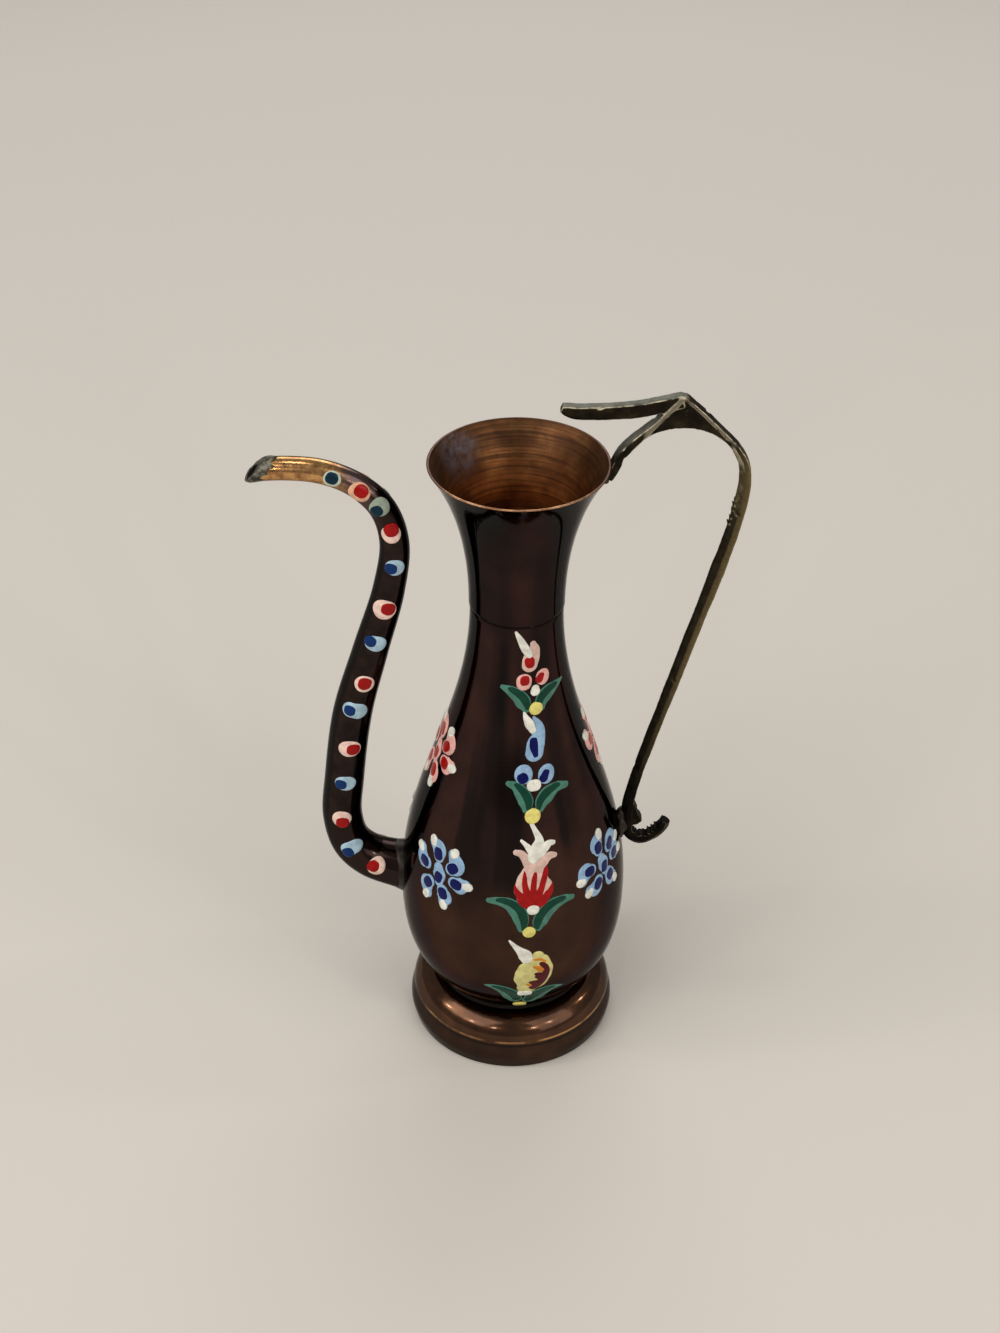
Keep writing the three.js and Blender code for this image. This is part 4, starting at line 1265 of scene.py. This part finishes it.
def cast(name, shells, look, slot, replaced, voxel, smoothing, bumps, dents=None, outside=None):
    """Fuses overlapping shells into one skin, softens and roughens it, and keeps it outside a spun line."""
    points, faces = joined(shells)
    rough = new_piece(name + "_shells", points, faces, [look])
    fuse = rough.modifiers.new("fuse", "REMESH")
    fuse.mode = "VOXEL"
    fuse.voxel_size = voxel * MM
    soften = rough.modifiers.new("soften", "SMOOTH")
    soften.iterations = smoothing
    soften.factor = 0.5
    fused = rough.evaluated_get(bpy.context.evaluated_depsgraph_get()).to_mesh()
    skin = np.array([v.co for v in fused.vertices]) / MM - (AXIS_X, 0, 0)
    normals = np.array([v.normal for v in fused.vertices])
    skin_faces = [tuple(p.vertices) for p in fused.polygons]
    bpy.data.objects.remove(rough)
    for scale, depth in bumps:
        skin = skin + normals * (waves_at(skin, scale) * depth)[:, None]
    if dents:
        scale, threshold, depth = dents
        sunk = np.maximum(0, waves_at(skin, scale, DENT_SHIFT) - threshold)
        skin = skin - normals * (sunk * depth)[:, None]
    if outside is not None:
        radius = np.hypot(skin[:, 0], skin[:, 1])
        least = np.interp(skin[:, 2], outside[:, 1], outside[:, 0]) - SHEET / 3
        skin[:, :2] *= (np.maximum(radius, least) / radius)[:, None]
    return new_piece(name, skin, skin_faces, [look], replaced)


def make_handle():
    """The casting: limb with its hooked tail, arm, thumb bar, web, a burr and filing marks."""
    limb = moved(LIMB_RIB + LIMB_TOP, rim_point) + moved(LIMB_MIDDLE + LIMB_TAIL, tail_point)
    shells = [
        strap(limb, LIMB_WIDTH, bevel=LIMB_BEVEL), strap(moved(ARM_ROUTE, rim_point), ARM_WIDTH, LIMB_WIDTH),
        strap(moved(THUMB_ROUTE, rim_point), THUMB_WIDTH), plate(web_corners(), WEB_WIDTH),
        plate(moved(TAIL_BURR, tail_point), THUMB_WIDTH),
    ]
    for marks in LIMB_TEETH:
        shells += teeth(limb, *marks)
    return cast("handle_cast", shells, BRASS, "aged_brass", ["handle_casting"], **HANDLE_SKIN)


def lump(centre, size):
    """An egg of solder; points run in rings from its lower to its upper pole."""
    tilt = np.linspace(-math.pi / 2, math.pi / 2, LUMP_RINGS)[:, None]
    turn = ring_turns(STRAP_SIDES)
    ball = np.stack([np.cos(tilt) * np.cos(turn), np.cos(tilt) * np.sin(turn), np.sin(tilt) + 0 * turn], -1)
    return ball.reshape(-1, 3) * np.asarray(size) / 2 + centre, grid_faces(LUMP_RINGS, STRAP_SIDES)


def make_solder(name, start, lumps, replaced, skin, outside=None):
    """Solder run together from lumps (place from the starting point, size)."""
    shells = [lump((start[0] + x, y, start[1] + z), size) for (x, y, z), size in lumps]
    return cast(name, shells, DARK_SOLDER, "soft_solder", [replaced], **skin, outside=outside)


# Enamel painting

class Painting:
    """Raised strokes of enamel, gathered into one piece."""

    def __init__(self, name):
        """An empty painting that will be a piece of this name."""
        self.name = name
        self.points = []
        self.faces = []
        self.looks = []
        self.count = 0

    def stroke(self, surface, colour, stations, height=LAYERS[0][0], lift=0.0):
        """Paint through stations (across, up, half width) of a surface, with round ends."""
        line = catmull_rom(stations, STROKE_STEPS)
        centre, half = line[:, :2], np.maximum(line[:, 2], LEAST_HALF_WIDTH)
        along = directions(centre)
        turn = np.linspace(0, math.pi / 2, CAP_STEPS + 1)[1:, None]
        head = (centre[0] - along[0] * half[0] * np.sin(turn))[::-1]
        tail = centre[-1] + along[-1] * half[-1] * np.sin(turn)
        cap = np.maximum(np.cos(turn[:, 0]), 0.02)
        centre = np.concatenate([head, centre, tail])
        along = np.pad(along, ((CAP_STEPS, CAP_STEPS), (0, 0)), "edge")
        half = np.concatenate([(half[0] * cap)[::-1], half, half[-1] * cap])
        steps = np.linalg.norm(np.diff(centre, axis=0), axis=1)
        # Each stroke starts elsewhere in the waves of its width
        run = np.concatenate([[0], np.cumsum(steps)]) + stations[0][0] * 3.7 + stations[0][1] * 1.9
        half = half * (1 + UNEVEN * (np.sin(run * 1.1) + 0.5 * np.sin(run * 2.3)))
        side = np.linspace(-math.pi / 2, math.pi / 2, STROKE_SIDES)
        swell = (1 - np.abs(np.sin(side)) ** 4) ** 0.5
        ends = np.minimum(1, half / (FULL_HEIGHT_SHARE * half.max())) ** 0.6
        across = np.concatenate([[-1], np.sin(side), [1]])
        rise = np.concatenate([[-1], swell, [-1]])
        aside = np.stack([-along[:, 1], along[:, 0]], 1)[:, None] * half[:, None, None]
        grid = centre[:, None] + aside * across[:, None]
        raised = lift * ends[:, None] + height * ends[:, None] * rise
        raised = np.where(rise < 0, -PAINT_SINK, raised)
        points = surface(grid[..., 0], grid[..., 1], raised).reshape(-1, 3)
        rows, columns = len(half), len(across)
        faces = grid_faces(rows, columns, closed_rings=False)
        for i in range(rows - 1):
            faces.append((i * columns, (i + 1) * columns, (i + 2) * columns - 1, (i + 1) * columns - 1))
        self.points.append(points)
        self.faces += [tuple(i + self.count for i in face) for face in faces]
        self.looks += [PAINT_ORDER.index(colour)] * len(faces)
        self.count += len(points)

    def dot(self, surface, colour, centre, radius, height=LAYERS[0][0], lift=0.0, stretch=0.0, lean=0.0):
        """A round or oval touch of the brush; stretch lengthens it along lean, in degrees from across."""
        step = heading(lean) * max(stretch, LEAST_STRETCH)
        ends = [(*(np.asarray(centre) + way), radius) for way in (-step, step)]
        self.stroke(surface, colour, ends, height, lift)

    def finish(self):
        """The piece with all the strokes."""
        points = np.concatenate(self.points)
        paints = list(PAINTS.values())
        return new_piece(self.name, points, self.faces, paints, look_of=self.looks)


def heading(degrees):
    """The unit vector in a direction."""
    turn = math.radians(degrees)
    return np.array([math.cos(turn), math.sin(turn)])


def on_body(meridian, height, right=0.0):
    """The body's surface round a point: degrees from the front, a height and a length to the right."""
    start = math.radians(meridian)

    def place(across, up, rise):
        """The point this far across, up and out from the surface."""
        up = up + height
        radius = body_radius(up)
        slope = np.interp(up, body_line[:, 1], body_slope)
        tilt = np.hypot(1, slope)
        turn = start + (across + right) / radius
        out = radius + rise / tilt
        return np.stack([out * np.sin(turn), -out * np.cos(turn), up - rise * slope / tilt], -1)

    return place


def on_spout(along, turn):
    """The spout's surface round a point: a length from the route's start and a turn in degrees."""
    start = math.radians(turn)

    def place(across, up, rise):
        """The point this far round, along and out from the surface."""
        share = (along + up) / spout_length
        radius = np.interp(share, share_line, radius_line)
        return spout_point(share, start + across / radius, rise)

    return place


def leaf(painting, surface, stations):
    """A leaf with a darker second stroke along its inner side."""
    painting.stroke(surface, "teal", stations, LEAF_HEIGHT)
    line = np.array(stations)
    inner = -np.sign(line[0, 0])
    along = directions(line[:, :2])
    aside = np.stack([along[:, 1], -along[:, 0]], 1)
    aside *= np.sign(aside[len(line) // 2, 0] * inner)
    middle = line[:, :2] + aside * line[:, 2:] * LEAF_SHADE_SHIFT
    shade = np.column_stack([middle, line[:, 2] * LEAF_SHADE_WIDTH])
    shade[0] = (*(line[0, :2] * 0.45 + line[1, :2] * 0.55), LEAF_SHADE_TIP)
    painting.stroke(surface, "leaf", shade.tolist(), LEAF_SHADE_HEIGHT, LEAF_HEIGHT - LEAF_SHADE_SINK)


def motif(painting, name, surface):
    """One flower or bud of the column: its leaves, its strokes and the yellow dot on its stem."""
    for stations in LEAVES[name]:
        leaf(painting, surface, stations)
    for colour, layer, stations in STROKES[name]:
        painting.stroke(surface, colour, stations, *LAYERS[layer])
    radius, stretch = STEM_DOT[name]
    painting.dot(surface, "yellow", (0, 0), radius, *STEM_DOT_LAYER, stretch)


def rosette(name, surface, outer, core, swing_side=1):
    """A six-petalled flower round a seventh petal; the white tips are the brush's last touch."""
    flower = Painting("enamel_rosette_" + name)
    flower.stroke(surface, outer, HEART)
    flower.dot(surface, core, HEART_CORE, HEART_CORE_R, *LAYERS[1], CORE_STRETCH, HEART_CORE_LEAN)
    for lean, reach, swing in PETALS:
        out, aside = heading(lean), heading(lean + swing * swing_side)
        petal = [(*(way * (reach + far)), half) for way, (far, half) in zip((out, out, aside), PETAL)]
        flower.stroke(surface, outer, petal)
        flower.dot(surface, core, out * (reach + PETAL_CORE), PETAL_CORE_R, *LAYERS[1], CORE_STRETCH, lean)
        touch = [(*(aside * (reach + far)), half) for far, half in WHITE_TOUCH]
        flower.stroke(surface, "white", touch, *LAYERS[2])
    return flower.finish()


def make_body_painting():
    """The two columns, the blue rosettes beside them and the pink ones over spout and handle."""
    for side, start in (("front", 0.0), ("back", 180.0)):
        column = Painting("enamel_column_" + side)
        for name, (right, height) in COLUMN.items():
            motif(column, name, on_body(start, height, right))
        column.finish()
        for hand, turn, swing_side in (("left", LEFT_ROSETTE, 1), ("right", RIGHT_ROSETTE, -1)):
            rosette(f"{side}_{hand}", on_body(start + turn, ROSETTE_Z), "sky", "navy", swing_side)
    for hand, (turn, height) in SIDE_ROSETTES.items():
        rosette(hand, on_body(turn, height), "pink", "red")


def make_spout_painting():
    """The row of dots on each side of the spout; the far side mirrors the near one."""
    dots = Painting("enamel_spout_dots")
    for along, turn, half_around, half_along, core_around, core_along, ground in SPOUT_DOTS:
        core, core_radius = SPOUT_CORES[ground]
        shrink = min(1.0, np.interp(along / spout_length, share_line, radius_line) / FULL_DOT_TUBE_R)
        stretch = max(half_around - half_along, LEAST_STRETCH)
        for surface, flip in ((on_spout(along, turn), 1), (on_spout(along, 180 - turn), -1)):
            dots.dot(surface, ground, (0, 0), half_along * shrink, *LAYERS[0], stretch)
            dots.dot(surface, core, (core_around * flip, core_along), core_radius * shrink, *LAYERS[1])
    return dots.finish()


make_body()
make_collar()
make_foot()
make_spout()
make_tip_solder()
make_base_solder()
make_handle()
make_solder("tail_solder_flow", tail_point, TAIL_LUMPS, "handle_tail_solder", TAIL_SOLDER_SKIN)
make_solder("rim_solder_flow", rim_point, RIM_LUMPS, "handle_rim_solder", RIM_SOLDER_SKIN, collar_line)
make_body_painting()
make_spout_painting()
# The solder rings at the seam and in the foot's valley are painted black for the shade they lie in
for node in ("neck_solder_ring", "foot_solder_ring"):
    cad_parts[node].data.materials.clear()
    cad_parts[node].data.materials.append(PAINTED_SHADE_SOLDER)


# Camera, floor and light

def placed(name, data):
    """A new object in the scene."""
    made = bpy.data.objects.new(name, data)
    bpy.context.scene.collection.objects.link(made)
    return made


def make_camera():
    """The photograph's camera."""
    data = bpy.data.cameras.new("camera")
    data.sensor_width = SENSOR
    data.lens = FOCAL_PIXELS / PHOTO_HEIGHT * SENSOR
    data.clip_start = 0.01
    camera = placed("camera", data)
    turn = Matrix([CAMERA_RIGHT, CAMERA_UP, [-v for v in CAMERA_SIGHT]]).transposed()
    place = (Vector(CAMERA_PLACE) + Vector((AXIS_X, 0, 0))) * MM
    camera.matrix_world = Matrix.Translation(place) @ turn.to_4x4()
    bpy.context.scene.camera = camera


def make_floor():
    """A plain pale floor that fades into the room far from the jug."""
    mesh = bpy.data.meshes.new("floor")
    corners = [(x * FLOOR_REACH, y * FLOOR_REACH, 0) for x, y in ((-1, -1), (1, -1), (1, 1), (-1, 1))]
    mesh.from_pydata(corners, [], [(0, 1, 2, 3)])
    look = Look("pale_floor")
    away = look.vector_maths("LENGTH", look.where)["Value"]
    fade = look.node("MixShader")
    layers = (look.step(away, *FLOOR_FADE), look.shader.outputs[0], look.node("BsdfTransparent").outputs[0])
    for layer, socket in zip(layers, fade.inputs):
        look.put(layer, socket)
    look.put(fade.outputs[0], look.tree.nodes["Material Output"].inputs["Surface"])
    mesh.materials.append(look.finish(Base_Color=FLOOR_COLOUR, Roughness=FLOOR_ROUGHNESS))
    placed("floor", mesh)


def area_light(name, place, size, power, tint):
    """A rectangular light that looks at the middle of the jug."""
    data = bpy.data.lights.new(name, "AREA")
    data.shape = "RECTANGLE"
    data.size, data.size_y = size
    data.energy = power
    data.color = tint
    light = placed(name, data)
    light.location = place
    light.rotation_euler = (Vector(LIGHT_TARGET) - Vector(place)).to_track_quat("-Z", "Y").to_euler()


def make_lamps():
    """Small lamps round the front, seen as spots in the polished metal."""
    for number, (azimuth, elevation) in enumerate(LAMPS):
        turn, rise = math.radians(azimuth), math.radians(elevation)
        level = LAMP_DISTANCE * math.cos(rise)
        place = (level * math.sin(turn), -level * math.cos(turn), LAMP_DISTANCE * math.sin(rise))
        area_light(f"lamp_{number}", place, (LAMP_SIZE, LAMP_SIZE), LAMP_POWER, LAMP_TINT)


def make_world():
    """A plain grey room."""
    world = bpy.data.worlds.new("room")
    world.use_nodes = True
    background = world.node_tree.nodes["Background"]
    background.inputs["Color"].default_value = ROOM_COLOUR
    background.inputs["Strength"].default_value = ROOM_STRENGTH
    bpy.context.scene.world = world


make_camera()
make_floor()
make_world()
make_lamps()
for name, settings in SOFT_LIGHTS.items():
    area_light(name, *settings)

bpy.context.scene.view_settings.view_transform = "Standard"
